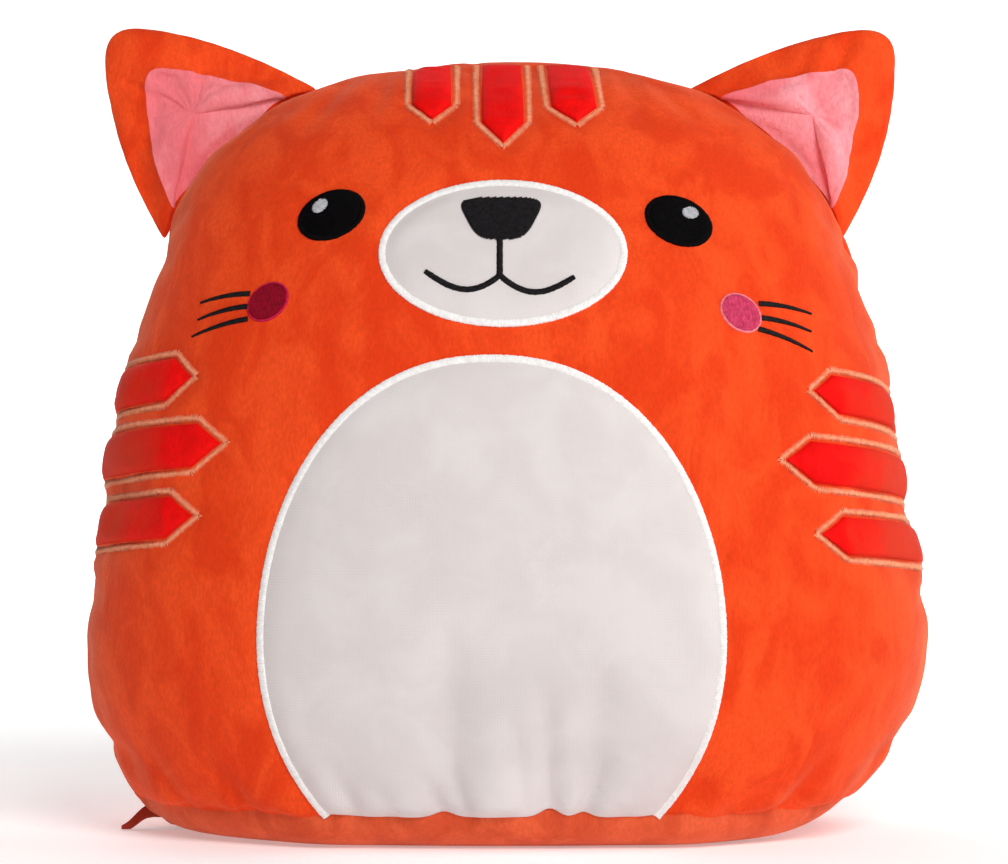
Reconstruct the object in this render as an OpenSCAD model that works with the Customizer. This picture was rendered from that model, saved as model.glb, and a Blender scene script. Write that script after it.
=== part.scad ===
// A stuffed plush cat with a zipped base, standing on the flat middle of its base.
// The cat looks along -Y, +Z is up, and the origin is under the middle of the base.
// Left and right are as seen from the front: left is -X.

/* [Body] */
// Width of the body at its widest, without the ears
body_w = 318; // [280:1:360]
// Height of the body, from the floor to the top seam
body_h = 290; // [255:1:330]
// Depth of the body at the belly, front to back
body_d = 186; // [160:1:215]
// Squareness of the body's horizontal outline (2 is an ellipse)
body_square = 2.35; // [2.1:0.05:2.8]
// Thickness of the plush panels
plush_t = 2; // [1.5:0.1:2.5]

/* [Ears] */
// Height of the ear tip above the floor
ear_tip_z = 305; // [298:1:312]
// Thickness of an ear in its middle
ear_t = 21; // [14:1:24]

/* [Face] */
// Width of the muzzle patch
muzzle_w = 89; // [80:1:96]
// Height of the muzzle patch
muzzle_h = 54; // [48:1:58]
// Width of the satin stitch around the white patches
border_w = 2.8; // [2:0.1:3.5]
// Width of an eye along its long axis
eye_w = 25; // [20:0.5:28]
// Height of an eye
eye_h = 17; // [14:0.5:20]
// Tilt of the eyes, outer end low
eye_tilt = 22; // [0:1:30]

/* [Zip] */
// X of the closed end of the zip
zip_start = -117; // [-118:1:-112]
// X of the open end of the zip
zip_end = 100; // [80:1:104]
// Width of the slot that the zip lies in
slot_w = 7; // [7:0.1:8]

/* [Hidden] */

$fn = 48;

// Colours
ORANGE = [0.93, 0.25, 0.06];
RED = [0.82, 0.02, 0.02];
THREAD = [0.95, 0.50, 0.33];
WHITE = [0.90, 0.86, 0.85];
PINK = [0.95, 0.56, 0.60];
BLACK = [0.05, 0.04, 0.04];

// Rows of the body, bottom to top: height, half width and half depth as parts of the whole
ROWS = [
    [0.000, 0.685, 0.62],
    [0.010, 0.790, 0.74],
    [0.041, 0.850, 0.83],
    [0.103, 0.925, 0.91],
    [0.190, 0.985, 0.98],
    [0.290, 1.000, 1.00],
    [0.425, 0.970, 0.99],
    [0.565, 0.930, 0.95],
    [0.690, 0.860, 0.86],
    [0.785, 0.800, 0.74],
    [0.865, 0.715, 0.60],
    [0.925, 0.590, 0.45],
    [0.968, 0.435, 0.29],
    [0.992, 0.240, 0.13],
    [1.000, 0.060, 0.01],
];
LAST = len(ROWS) - 1;
SEAM_ROW = 2; // the row where the base is sewn to the front and back panels
base_seam_z = ROWS[SEAM_ROW].x * body_h;

// ---------------------------------------------------------------- curves

function spow(v, p) = sign(v) * pow(abs(v), p);
function unit(v) = v / max(norm(v), 1e-9);
function clamp(v, lo, hi) = min(max(v, lo), hi);

function bezier(p, c, q, t) = (1 - t) * (1 - t) * p + 2 * t * (1 - t) * c + t * t * q;

function catmull(a, b, c, d, t) =
    0.5 * (2 * b + (c - a) * t + (2 * a - 5 * b + 4 * c - d) * t * t
        + (3 * b - a - 3 * c + d) * t * t * t);

// ---------------------------------------------------------------- body surface

// Height, half width and half depth at row number t, which may lie between two rows
function row_at(t) =
    let (i = clamp(floor(t), 0, LAST - 1))
    let (r = catmull(ROWS[max(i - 1, 0)], ROWS[i], ROWS[i + 1], ROWS[min(i + 2, LAST)], t - i))
    [r.x * body_h, r.y * body_w / 2, r.z * body_d / 2];

// Row number at a height
function row_of(z, lo = 0, hi = LAST, n = 18) =
    n == 0 ? (lo + hi) / 2
    : let (mid = (lo + hi) / 2)
        row_at(mid).x < z ? row_of(z, mid, hi, n - 1) : row_of(z, lo, mid, n - 1);

// A point of the front of the body, at an angle a from the right-hand side seam
function side_point(a, z) =
    let (r = row_at(row_of(z)))
    [r.y * spow(cos(a), 2 / body_square), -r.z * pow(max(sin(a), 0), 2 / body_square), z];

// A point of the front of the body, seen from the front at x and z
function face_point(x, z) =
    let (r = row_at(row_of(z)))
    [x, -r.z * pow(max(1 - pow(abs(x) / r.y, body_square), 0.0001), 1 / body_square), z];

function face_normal(x, z) =
    let (dx = face_point(x + 0.5, z) - face_point(x - 0.5, z))
    let (dz = face_point(x, z + 0.5) - face_point(x, z - 0.5))
    unit(cross(dx, dz));

function side_normal(a, z) =
    let (da = side_point(a + 1, z) - side_point(a - 1, z))
    let (dz = side_point(a, z + 0.5) - side_point(a, z - 0.5))
    -unit(cross(da, dz));

// Outline points given as [x, z] go on the face, and as [angle, z] go round the side
function on_body(p, lift, round_side = false) =
    round_side ? side_point(p.x, p.y) + lift * side_normal(p.x, p.y)
    : face_point(p.x, p.y) + lift * face_normal(p.x, p.y);

// ---------------------------------------------------------------- mesh builders

// One closed solid from a row of closed sections, each with the same number of points.
// strip_ends closes a thin-walled section with a strip from its first half to its second half.
module skin(sections, loop = false, strip_ends = false) {
    k = len(sections[0]);
    m = len(sections);
    last = loop ? m : m - 1;
    sides = [
        for (i = [0:last - 1], j = [0:k - 1])
            let (a = i * k + j, b = i * k + (j + 1) % k)
            let (c = ((i + 1) % m) * k + j, d = ((i + 1) % m) * k + (j + 1) % k)
            each [[a, b, d], [a, d, c]]
    ];
    b = (m - 1) * k; // first point of the last section
    strips = [
        for (j = [0:k / 2 - 2])
            let (i = k - 1 - j)
            each [[i, i - 1, j + 1], [i, j + 1, j], [b + j, b + j + 1, b + i - 1], [b + j, b + i - 1, b + i]]
    ];
    ends = loop ? []
        : strip_ends ? strips
        : [[for (j = [k - 1:-1:0]) j], [for (j = [0:k - 1]) b + j]];
    polyhedron([for (s = sections) each s], concat(sides, ends), convexity = 6);
}

// A pad over an outline: rings that shrink to the middle, with a top and an underside
module pad(tops, unders) {
    n = len(tops[0]);
    rings = len(tops);
    under0 = rings * n + 1;
    tip = rings * n;
    points = concat([for (r = tops) each r], [mid_of(tops[rings - 1])],
        [for (r = unders) each r], [mid_of(unders[rings - 1])]);
    top_faces = [
        for (r = [0:rings - 2], i = [0:n - 1])
            let (a = r * n + i, b = r * n + (i + 1) % n)
            each [[a, a + n, b + n], [a, b + n, b]]
    ];
    top_cap = [for (i = [0:n - 1]) [(rings - 1) * n + i, tip, (rings - 1) * n + (i + 1) % n]];
    under_faces = [for (f = top_faces) [f.x + under0, f.z + under0, f.y + under0]];
    under_cap = [for (f = top_cap) [f.x + under0, f.z + under0, f.y + under0]];
    walls = [
        for (i = [0:n - 1])
            let (a = i, b = (i + 1) % n)
            each [[a, b, b + under0], [a, b + under0, a + under0]]
    ];
    polyhedron(points, concat(top_faces, top_cap, under_faces, under_cap, walls), convexity = 4);
}

function mid_of(ring) = [for (p = ring) 1] * ring / len(ring);

// A cloth patch on the body: an outline, a thickness at its edge and a puff in its middle
module patch(outline, low, high, puff = 0, rings = 3) {
    centre = mid_of(outline);
    shrink = [for (r = [0:rings - 1]) 1 - 0.86 * r / max(rings - 1, 1)];
    tops = [for (s = shrink) [for (p = outline)
        on_body(centre + (p - centre) * s, high + puff * sqrt(1 - s * s * 0.999))]];
    unders = [for (s = shrink) [for (p = outline) on_body(centre + (p - centre) * s, low)]];
    pad(tops, unders);
}

// A raised band between two lines with the same number of points
module band(inner, outer, low, high, loop = true) {
    n = len(inner);
    skin([for (i = [0:n - 1]) [
        on_body(outer[i], low), on_body(outer[i], high), on_body(inner[i], high), on_body(inner[i], low)
    ]], loop = loop);
}

// A stitched line along a path of [x, z] points that narrows at its ends
module stroke(path, width, low, high, end_taper = 0.5) {
    n = len(path);
    skin([for (i = [0:n - 1])
        let (ahead = path[min(i + 1, n - 1)], behind = path[max(i - 1, 0)])
        let (d = (ahead - behind) / norm(ahead - behind))
        let (u = i / (n - 1), w = width / 2 * (end_taper + (1 - end_taper) * sqrt(4 * u * (1 - u))))
        let (s = [-d.y, d.x] * w)
        [on_body(path[i] + s, low), on_body(path[i] + s, high),
         on_body(path[i] - s, high), on_body(path[i] - s, low)]
    ]);
}

// ---------------------------------------------------------------- outlines

function ellipse_outline(c, a, b, tilt = 0, n = 40) = [
    for (i = [0:n - 1])
        let (t = 360 * i / n, x = a * cos(t), y = b * sin(t))
        c + [x * cos(tilt) - y * sin(tilt), x * sin(tilt) + y * cos(tilt)]
];

// Points along the sides of a polygon, none further apart than step
function dense(corners, step) = [
    for (i = [0:len(corners) - 1])
        let (p = corners[i], q = corners[(i + 1) % len(corners)])
        let (n = max(1, ceil(norm(q - p) / step)))
        for (j = [0:n - 1]) p + (q - p) * j / n
];

// The belly patch is an egg cut off by the base seam: [x, z] points, anticlockwise
belly_x = -4; // the patch sits a little to the left
belly_top = 178;
belly_foot = base_seam_z + 1;
belly_half_w = 83.5;
belly_wide_z = 76;
belly_corner = 46; // angle below the widest point at which the egg is cut off
function belly_arc(inset, n = 40) = [
    for (i = [0:n])
        let (t = -belly_corner + (180 + 2 * belly_corner) * i / n)
        let (b = sin(t) > 0 ? belly_top - belly_wide_z - inset
            : (belly_wide_z - belly_foot) / sin(belly_corner))
        [belly_x + (belly_half_w - inset) * spow(cos(t), 0.9), belly_wide_z + b * sin(t)]
];
function belly_outline(inset, foot_n = 12) =
    let (low_x = (belly_half_w - inset) * spow(cos(belly_corner), 0.9))
    concat(
        belly_arc(inset),
        [for (i = [1:foot_n - 1]) [belly_x + low_x * (2 * i / foot_n - 1), belly_foot]]
    );

muzzle_c = [0, 214.2];
function muzzle_outline(inset) =
    ellipse_outline(muzzle_c, muzzle_w / 2 - inset, muzzle_h / 2 - inset, 0, 44);

// The nose is a trapezoid with rounded corners, wide at the top
function nose_outline() = [
    for (i = [0:29])
        let (u = spow(cos(12 * i), 0.6), v = spow(sin(12 * i), 0.6))
        [-0.5 + (12.2 + 3.8 * v) * u, 226.7 + 7.5 * v]
];

// An arrow that points along +u: a bar from the seam with a pointed end
function arrow(length, half_w, point) =
    [[0, -half_w], [length - point, -half_w], [length, 0], [length - point, half_w], [0, half_w]];

// A forehead stripe hangs from the top seam and points down
forehead_top = 285.5;
function forehead_outline(x, lean, length, half_w, point, grow) =
    dense([for (p = arrow(length + grow * 1.5, half_w + grow, point + grow * 0.4))
        [x + p.y + lean * p.x, forehead_top - p.x]], 7);

// Each forehead stripe: x, lean, length, half width, length of its point
FOREHEAD = [
    [-26.5, 0.02, 20.5, 7.2, 5.6],
    [-0.5, 0.02, 30, 7.8, 8],
    [24.5, 0.12, 21.5, 8.4, 5.8],
];

// How far a side stripe has narrowed at u along it: 1 on the bar, falling to 0 at the tip
side_tip = 5.2; // degrees round the body that the pointed end covers
side_start = 2.5; // degrees from the seam to the end of the stripe
function side_narrow(p, tip) = min(1, max(tip - p, 0.25) / side_tip);

// Each side stripe: height of its middle at the seam, angle that it covers, half width, slope
SIDE_LEFT = [
    [163.5, 41.2, 7.6, 0.17],
    [139.5, 50, 8, 0.14],
    [114, 46, 7.6, 0.14],
];
SIDE_RIGHT = [
    [156, 42, 7.2, 0.22],
    [131.5, 50, 7.8, 0.18],
    [107.5, 44.5, 7, 0.14],
];

// ---------------------------------------------------------------- panels

// One half of a hollow form: outer and inner rows swept from one side seam to the other.
// A row is height, half width, half depth, and how far it stands off the middle plane.
module half_shell(outer, inner, side, slot_gap = seam_gap, columns = 28) {
    rows = concat(outer, [for (i = [len(inner) - 1:-1:0]) inner[i]]);
    even_walls = len(outer) == len(inner);
    skin([for (i = [0:columns])
        let (a = 180 * (side > 0 ? columns - i : i) / columns)
        let (c = spow(cos(a), 2 / body_square), s = pow(max(sin(a), 0), 2 / body_square))
        [for (r = (side > 0 ? [for (k = [len(rows) - 1:-1:0]) rows[k]] : rows))
            let (x = r.y * c, off = len(r) > 3 ? r[3] * pow(max(sin(a), 0), 0.3) : 0)
            let (y = off + max(x < zip_end + 4 ? slot_gap : seam_gap, r.z * s))
            [x, side * y, r.x]]
    ], strip_ends = even_walls);
}

// The same rows, moved in by a distance on every side
function inset_row(r, d, floor_z) = [
    floor_z + (r.x - floor_z) * (1 - d / (body_h - base_seam_z)),
    max(r.y - d, r.y * 0.3),
    max(r.z - d, r.z * 0.3)
];

seam_gap = 0.1; // half the gap between the front and back pieces
edge_off = 0.15;

panel_steps = 22;
panel_rows = [for (i = [0:panel_steps]) row_at(SEAM_ROW + (LAST - SEAM_ROW) * i / panel_steps)];

module body_panel(side) {
    inner = [for (r = panel_rows) inset_row(r, plush_t, base_seam_z)];
    half_shell(panel_rows, inner, side);
}

module base_half(side) {
    t = plush_t;
    rest = row_at(0);
    curve = [for (i = [0:6]) row_at(SEAM_ROW * i / 6)];
    lip_z = 6.2;
    lip_w = 3;
    lip_x = rest.y - 9;
    outer = concat([[0, lip_x, 0, edge_off]], curve);
    inner = concat(
        [[lip_z, lip_x, 0, edge_off], [lip_z, lip_x + 1, 0, lip_w], [t, lip_x + 3, 0, lip_w + 2]],
        [[t, rest.y - 1, rest.z - 1]],
        [for (i = [1:4]) let (r = curve[i + 2]) [min(max(r.x, t + 0.4 * i), base_seam_z), r.y - t, r.z - t]]
    );
    half_shell(outer, inner, side, slot_w / 2);
}

// The inner cushion stands inside the plush, and its floor is above the base seam and drawn in
cover_floor = base_seam_z + 1.3;
cover_gap = 3.6; // from the outside of the plush to the cover
filling_gap = 7.5; // from the outside of the plush to the filling
floor_in = 3; // how much further in the edge of the floor is
function cushion_rows(count, first, last, gap, floor_z) = concat(
    [let (r = row_at(SEAM_ROW)) [floor_z, r.y - gap - floor_in, r.z - gap - floor_in]],
    [for (i = [1:count]) inset_row(row_at(first + (last - first) * i / count), gap, base_seam_z)]
);
cover_rows = cushion_rows(16, SEAM_ROW + 0.2, LAST - 0.35, cover_gap, cover_floor);

module inner_cover(side) {
    cover_t = 0.8;
    floor_row = cover_rows[0];
    outer = concat([[floor_row.x, floor_row.y - 5, 0, edge_off]], cover_rows);
    inner = concat(
        [[floor_row.x + cover_t, floor_row.y - 5, 0, edge_off]],
        [for (r = cover_rows) [
            clamp(r.x, floor_row.x + cover_t, cover_rows[16].x - cover_t), r.y - cover_t, r.z - cover_t]]
    );
    half_shell(outer, inner, side, columns = 22);
}

module filling() {
    n = 36;
    rows = cushion_rows(13, SEAM_ROW + 0.4, LAST - 1.5, filling_gap, cover_floor + 1.5);
    skin([for (r = rows) [for (j = [n - 1:-1:0])
        let (a = 360 * j / n)
        [r.y * spow(cos(a), 2 / body_square), r.z * spow(sin(a), 2 / body_square), r.x]]]);
}

module front_panel() { color(ORANGE) body_panel(-1); }
module back_panel() { color(ORANGE) body_panel(1); }
module base_front() { color(ORANGE * 0.9) base_half(-1); }
module base_back() { color(ORANGE * 0.9) base_half(1); }
module inner_cover_front() { color("ivory") inner_cover(-1); }
module inner_cover_back() { color("ivory") inner_cover(1); }
module fibre_filling() { color("white") filling(); }

// ---------------------------------------------------------------- face

cloth_low = 0.4; // underside of a sewn-on patch above the panel
cloth_high = 1.2;
thread_high = 1.9;
on_patch_low = 1.25; // embroidery that lies on a patch
on_patch_high = 2.1;

module muzzle_patch() { color(WHITE) patch(muzzle_outline(border_w), cloth_low, cloth_high, 0.3, 5); }
module muzzle_border() {
    color("white") band(muzzle_outline(border_w - 0.1), muzzle_outline(0), cloth_low, thread_high);
}
module nose() { color(BLACK) patch(nose_outline(), on_patch_low + 0.3, on_patch_high + 0.4, 0.2); }

module mouth() {
    lift_low = on_patch_low + 0.3;
    lift_high = on_patch_high + 0.3;
    color(BLACK) {
        stroke([for (i = [0:5]) [-1.1, 217.9 - 10.1 * i / 5]], 2.3, lift_low, lift_high, 0.9);
        for (side = [-1, 1])
            stroke([for (i = [0:10])
                let (u = i / 10, rise = side < 0 ? 1.8 : -0.2)
                [-1.1 + side * (1.5 + 25 * u), 206.3 - 5.4 * sin(180 * pow(u, 0.9)) + rise * u]],
                2.2, lift_low, lift_high, 0.75);
    }
}

module eye(c, tilt) {
    color(BLACK) patch(ellipse_outline(c, eye_w / 2, eye_h / 2, tilt, 32),
        cloth_low, cloth_high + 0.6, 0.3);
}
module highlight(c, tilt) {
    color([0.7, 0.7, 0.72]) patch(ellipse_outline(c, 3.1, 2.3, tilt, 16), on_patch_low + 0.9,
        on_patch_high + 0.8, 0, 2);
}

module cheek(c, tilt, tint) {
    color(tint) patch(ellipse_outline(c, 8.3, 6, tilt, 24), cloth_low, cloth_high + 0.6, 0.3);
}

// Whiskers bow upwards between a root beside the cheek and a tip further out
module whiskers(lines) {
    color(BLACK) for (w = lines)
        stroke([for (i = [0:7]) bezier(w.x, (w.x + w.y) / 2 + [0, 1.3], w.y, i / 7)],
            1.8, cloth_low, cloth_high + 0.4, 0.45);
}
WHISKERS_LEFT = [
    [[-93, 200.3], [-109.8, 197.4]],
    [[-93.6, 195.6], [-110.6, 191.2]],
    [[-93, 191], [-112.7, 185.1]],
];
WHISKERS_RIGHT = [
    [[94.4, 196.4], [112, 193.4]],
    [[94.6, 191.2], [111.7, 186.9]],
    [[93.2, 187], [112, 179.6]],
];

module eye_left() { eye([-62, 229], eye_tilt); }
module eye_right() { eye([63.5, 226.7], -eye_tilt); }
module eye_highlight_left() { highlight([-66, 231.8], 60); }
module eye_highlight_right() { highlight([67.5, 229.3], 0); }
module cheek_left() { cheek([-84.5, 197.3], 35, [0.56, 0.02, 0.14]); }
module cheek_right() { cheek([85.5, 193.3], -35, [0.85, 0.28, 0.43]); }
module whiskers_left() { whiskers(WHISKERS_LEFT); }
module whiskers_right() { whiskers(WHISKERS_RIGHT); }

// ---------------------------------------------------------------- stripes and belly

stripe_puff = 1.6;
stitch_gap = 0.7; // from the red cloth to the line of stitches
stitch_w = 2.3;

module forehead_stripe(i) {
    s = FOREHEAD[i];
    color(RED) patch(forehead_outline(s[0], s[1], s[2], s[3], s[4], 0), cloth_low, cloth_high,
        stripe_puff, 3);
}
module forehead_stitching() {
    color(THREAD) for (s = FOREHEAD)
        stripe_band(s[0], s[1],
            open_arrow(s[2], s[3] + stitch_gap, s[4] + 0.6, stitch_gap * 1.5),
            open_arrow(s[2], s[3] + stitch_gap + stitch_w, s[4] + 0.6, (stitch_gap + stitch_w) * 1.5));
}

// A band of stitches round the open arrow: down one side, round the point and back up
function open_arrow(length, half_w, point, grow) =
    let (bar = length - point)
    concat(
        [for (i = [0:6]) [0.5 + (bar - 0.5) * i / 6, -half_w]],
        [[bar + (point + grow) / 2, -half_w / 2], [length + grow, 0], [bar + (point + grow) / 2, half_w / 2]],
        [for (i = [6:-1:0]) [0.5 + (bar - 0.5) * i / 6, half_w]]
    );

module stripe_band(x, lean, near, far) {
    function hang(p) = [x + p.y + lean * p.x, forehead_top - p.x];
    skin([for (i = [0:len(near) - 1])
        let (a = hang(near[i]), b = hang(far[i]))
        [on_body(b, cloth_low), on_body(b, cloth_high), on_body(a, cloth_high), on_body(a, cloth_low)]
    ]);
}

// A side stripe runs round from the seam in crowned sections and ends in a point
module side_stripe(stripe, side) {
    tip = stripe.y;
    n = 12;
    across = [-1, -0.8, -0.4, 0, 0.4, 0.8, 1];
    color(RED) skin([for (i = [0:n])
        let (p = i < n - 3 ? (tip - side_tip) * i / (n - 3) : tip - side_tip * (n - i) / 3)
        let (w = stripe.z * side_narrow(p, tip))
        concat(
            [for (v = across) on_body(side_place([p, w * v], stripe, side),
                cloth_high + stripe_puff * sqrt(max(1 - v * v, 0)) * min(1, w / stripe.z + 0.3), true)],
            [for (v = [1, 0, -1]) on_body(side_place([p, w * v], stripe, side), cloth_low, true)])
    ]);
}

// Stitches run out along one edge of each stripe, round its point and back
module side_stitching(stripes, side) {
    color(THREAD) for (s = stripes)
        let (near = open_side(s, stitch_gap), far = open_side(s, stitch_gap + stitch_w))
        skin([for (i = [0:len(near) - 1])
            let (a = side_place(near[i], s, side), b = side_place(far[i], s, side))
            [on_body(b, cloth_low, true), on_body(b, cloth_high, true),
             on_body(a, cloth_high, true), on_body(a, cloth_low, true)]
        ]);
}
function open_side(s, grow) =
    let (h = s.z + grow, bar = s.y - side_tip - grow * 0.1, tip = s.y + grow * 0.8)
    concat(
        [for (i = [0:8]) [bar * i / 8, -h]],
        [[(bar + tip) / 2, -h / 2], [tip, 0], [(bar + tip) / 2, h / 2]],
        [for (i = [8:-1:0]) [bar * i / 8, h]]
    );
function side_place(p, s, side) =
    let (a = side_start + p.x)
    [side > 0 ? a : 180 - a, s.x + p.y + s[3] * p.x];

module forehead_stripe_left() { forehead_stripe(0); }
module forehead_stripe_centre() { forehead_stripe(1); }
module forehead_stripe_right() { forehead_stripe(2); }
module side_stripe_left_upper() { side_stripe(SIDE_LEFT[0], -1); }
module side_stripe_left_middle() { side_stripe(SIDE_LEFT[1], -1); }
module side_stripe_left_lower() { side_stripe(SIDE_LEFT[2], -1); }
module side_stripe_right_upper() { side_stripe(SIDE_RIGHT[0], 1); }
module side_stripe_right_middle() { side_stripe(SIDE_RIGHT[1], 1); }
module side_stripe_right_lower() { side_stripe(SIDE_RIGHT[2], 1); }
module side_stitching_left() { side_stitching(SIDE_LEFT, -1); }
module side_stitching_right() { side_stitching(SIDE_RIGHT, 1); }

module belly_patch() { color(WHITE) patch(belly_outline(border_w), cloth_low, cloth_high, 0.3, 6); }
module belly_border() {
    color("white") band(belly_arc(border_w - 0.1), belly_arc(0), cloth_low, thread_high, loop = false);
}

// ---------------------------------------------------------------- ears

// Corners of the right ear, [x, z], on the seam plane
ear_top_foot = [73, 283.5];
ear_low_foot = [131.5, 226];
ear_top_turn = [139, ear_tip_z];
ear_side_turn = [151, ear_tip_z - 12];
ear_c = [117, 271]; // the point that the ear's rings shrink to

// The ear's outline, anticlockwise from its top foot: along the shoulder, up the side, over the tip
// slim moves the tip inwards: the right ear is a little slimmer than the left one
right_slim = 2;
EAR_SIDE_POINTS = 10;
function ear_outline(slim, n = EAR_SIDE_POINTS) =
    let (side_turn = ear_side_turn - [slim, slim / 3], top_turn = ear_top_turn - [slim, slim / 3])
    concat(
        [for (i = [0:n - 1]) bezier(ear_top_foot, [111.5, 265.5], ear_low_foot, i / n)],
        [for (i = [0:n - 1]) bezier(ear_low_foot, [149, 257], side_turn, i / n)],
        [for (i = [0:3]) bezier(side_turn, [152 - slim, ear_tip_z + 1 - slim / 3], top_turn, i / 4)],
        [for (i = [0:n - 1]) bezier(top_turn, [106, ear_tip_z - 2 - slim / 3], ear_top_foot, i / n)]
    );

EAR_RINGS = [1, 0.9, 0.7, 0.38];

// Half thickness of the ear where its rings have shrunk to s
function ear_half(s, t) = t / 2 * pow(max(1 - s * s, 0), 0.75);

function ear_ring(s, y, slim, squeeze = 1) =
    [for (p = ear_outline(slim)) let (q = ear_c + (p - ear_c) * s * squeeze) [q.x, y, q.y]];

module ear_layer(side, slim) {
    skin_t = 1.5;
    tops = [for (s = EAR_RINGS) ear_ring(s, side * (1.3 + ear_half(s, ear_t - 2.6)), slim)];
    unders = [for (s = EAR_RINGS)
        ear_ring(s, side * (0.15 + ear_half(s, ear_t - 2 * skin_t - 0.6)), slim)];
    if (side < 0) pad(tops, unders);
    else pad(unders, tops);
}

module ear_front(slim) { color(ORANGE) ear_layer(-1, slim); }
module ear_back(slim) { color(ORANGE) ear_layer(1, slim); }
module ear_filling(slim) {
    squeeze = 0.93;
    half_t = [for (s = EAR_RINGS) ear_half(s, ear_t - 2 * 1.5 - 3)];
    count = len(EAR_RINGS) - 1;
    pad([for (i = [0:count]) ear_ring(EAR_RINGS[i], -half_t[i] - 0.05, slim, squeeze)],
        [for (i = [0:count]) ear_ring(EAR_RINGS[i], half_t[i] + 0.05, slim, squeeze)]);
}

// The pink cloth keeps a border of orange along the ear's free edges. Each of its points lies on the
// line from the ear's middle to the same point of the ear's outline.
function pink_reach(i, n = EAR_SIDE_POINTS) =
    i < n ? 0.87 - 0.15 * pow(2 * i / n - 1, 4)
    : i < 2 * n ? 0.72 - 0.18 * sin(90 * (i - n) / n)
    : i < 2 * n + 4 ? 0.51
    : 0.49 + 0.23 * pow((i - 2 * n - 4) / n, 2);
module ear_inner(slim) {
    outline = ear_outline(slim);
    n = len(outline);
    rings = [1, 0.72, 0.4];
    low = 0.3;
    high = 1.1;
    function ring(k, lift) = [for (i = [0:n - 1])
        let (s = pink_reach(i) * k, q = ear_c + (outline[i] - ear_c) * s)
        [q.x, -(1.3 + ear_half(s, ear_t - 2.6)) - lift, q.y]];
    color(PINK) pad([for (k = rings) ring(k, high)], [for (k = rings) ring(k, low)]);
}

module ear_front_right() { ear_front(right_slim); }
module ear_back_right() { ear_back(right_slim); }
module ear_inner_right() { ear_inner(right_slim); }
module ear_filling_right() { color("white") ear_filling(right_slim); }
module ear_front_left() { mirror([1, 0, 0]) ear_front(0); }
module ear_back_left() { mirror([1, 0, 0]) ear_back(0); }
module ear_inner_left() { mirror([1, 0, 0]) ear_inner(0); }
module ear_filling_left() { color("white") mirror([1, 0, 0]) ear_filling(0); }

// ---------------------------------------------------------------- zip

tape_z = 6.7;
tape_t = 0.6;
tape_gap = 1.4; // between the two tapes, where the slider's blade runs
coil_r = 1;
coil_z = 5.6;
slider_x = zip_start + 7;
slider_l = 9;
slider_w = 6.2;
bridge_z = 1.9;
pin_r = 0.55;
pin_z = 2.65;
tab_l = 11;
pull_w = 4.6;

module zip_tape(side) {
    color("orangered") translate([zip_start - 2, side > 0 ? tape_gap / 2 : -12, tape_z])
        cube([zip_end - zip_start + 4, 12 - tape_gap / 2, tape_t]);
}
module zip_tape_front() { zip_tape(-1); }
module zip_tape_back() { zip_tape(1); }

module zip_coil() {
    color("tomato") for (side = [-1, 1])
        translate([zip_start + 1.5, side * (tape_gap / 2 + coil_r), coil_z])
            rotate([0, 90, 0]) cylinder(h = zip_end - zip_start - 3, r = coil_r);
}

// A top stop at the end of each coil, and one bottom stop across both
module zip_stops() {
    stop_h = 2.2;
    color("silver") {
        for (side = [-1, 1])
            translate([zip_start - 0.6, side > 0 ? 0.8 : -3, tape_z - stop_h])
                cube([1.8, 2.2, stop_h]);
        translate([zip_end - 1.3, -3, tape_z - stop_h]) cube([2, 6, stop_h]);
    }
}

// Two plates joined by a thin blade, with a bridge under them that holds the pull
module zip_slider() {
    lower_z = 3.4;
    plate_t = 0.9;
    upper_z = tape_z + tape_t + 0.3;
    color("silver") translate([slider_x, 0, 0]) {
        for (z = [lower_z, upper_z])
            translate([0, 0, z]) linear_extrude(plate_t) slider_plate();
        translate([-slider_l / 2 + 0.8, -0.45, lower_z]) cube([3.2, 0.9, upper_z - lower_z + plate_t]);
        translate([-3.4, -0.8, 1]) cube([6.8, 1.6, bridge_z - 1]);
        for (x = [-3.4, 2.4]) translate([x, -0.8, 1]) cube([1, 1.6, lower_z - 1 + 0.2]);
    }
}
module slider_plate() {
    hull() for (x = [-1, 1])
        translate([x * (slider_l / 2 - 1.6), 0]) circle(d = slider_w - (x > 0 ? 3 : 0));
}

// The tab turns on a round pin that lies under the slider's bridge
module zip_pull_tab() {
    tab_t = 1.1;
    x_pin = slider_x;
    arm_z = pin_z - tab_t / 2;
    color("silver") {
        translate([x_pin, pull_w / 2, pin_z]) rotate([90, 0, 0]) cylinder(h = pull_w, r = pin_r);
        for (y = [-pull_w / 2, pull_w / 2 - 1.1])
            translate([x_pin - 5.2, y, arm_z]) cube([5.2, 1.1, tab_t]);
        translate([x_pin - tab_l, -pull_w / 2, arm_z]) difference() {
            cube([tab_l - 5, pull_w, tab_t]);
            translate([1.2, 1, -1]) cube([1.8, pull_w - 2, tab_t + 2]);
        }
    }
}

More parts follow.
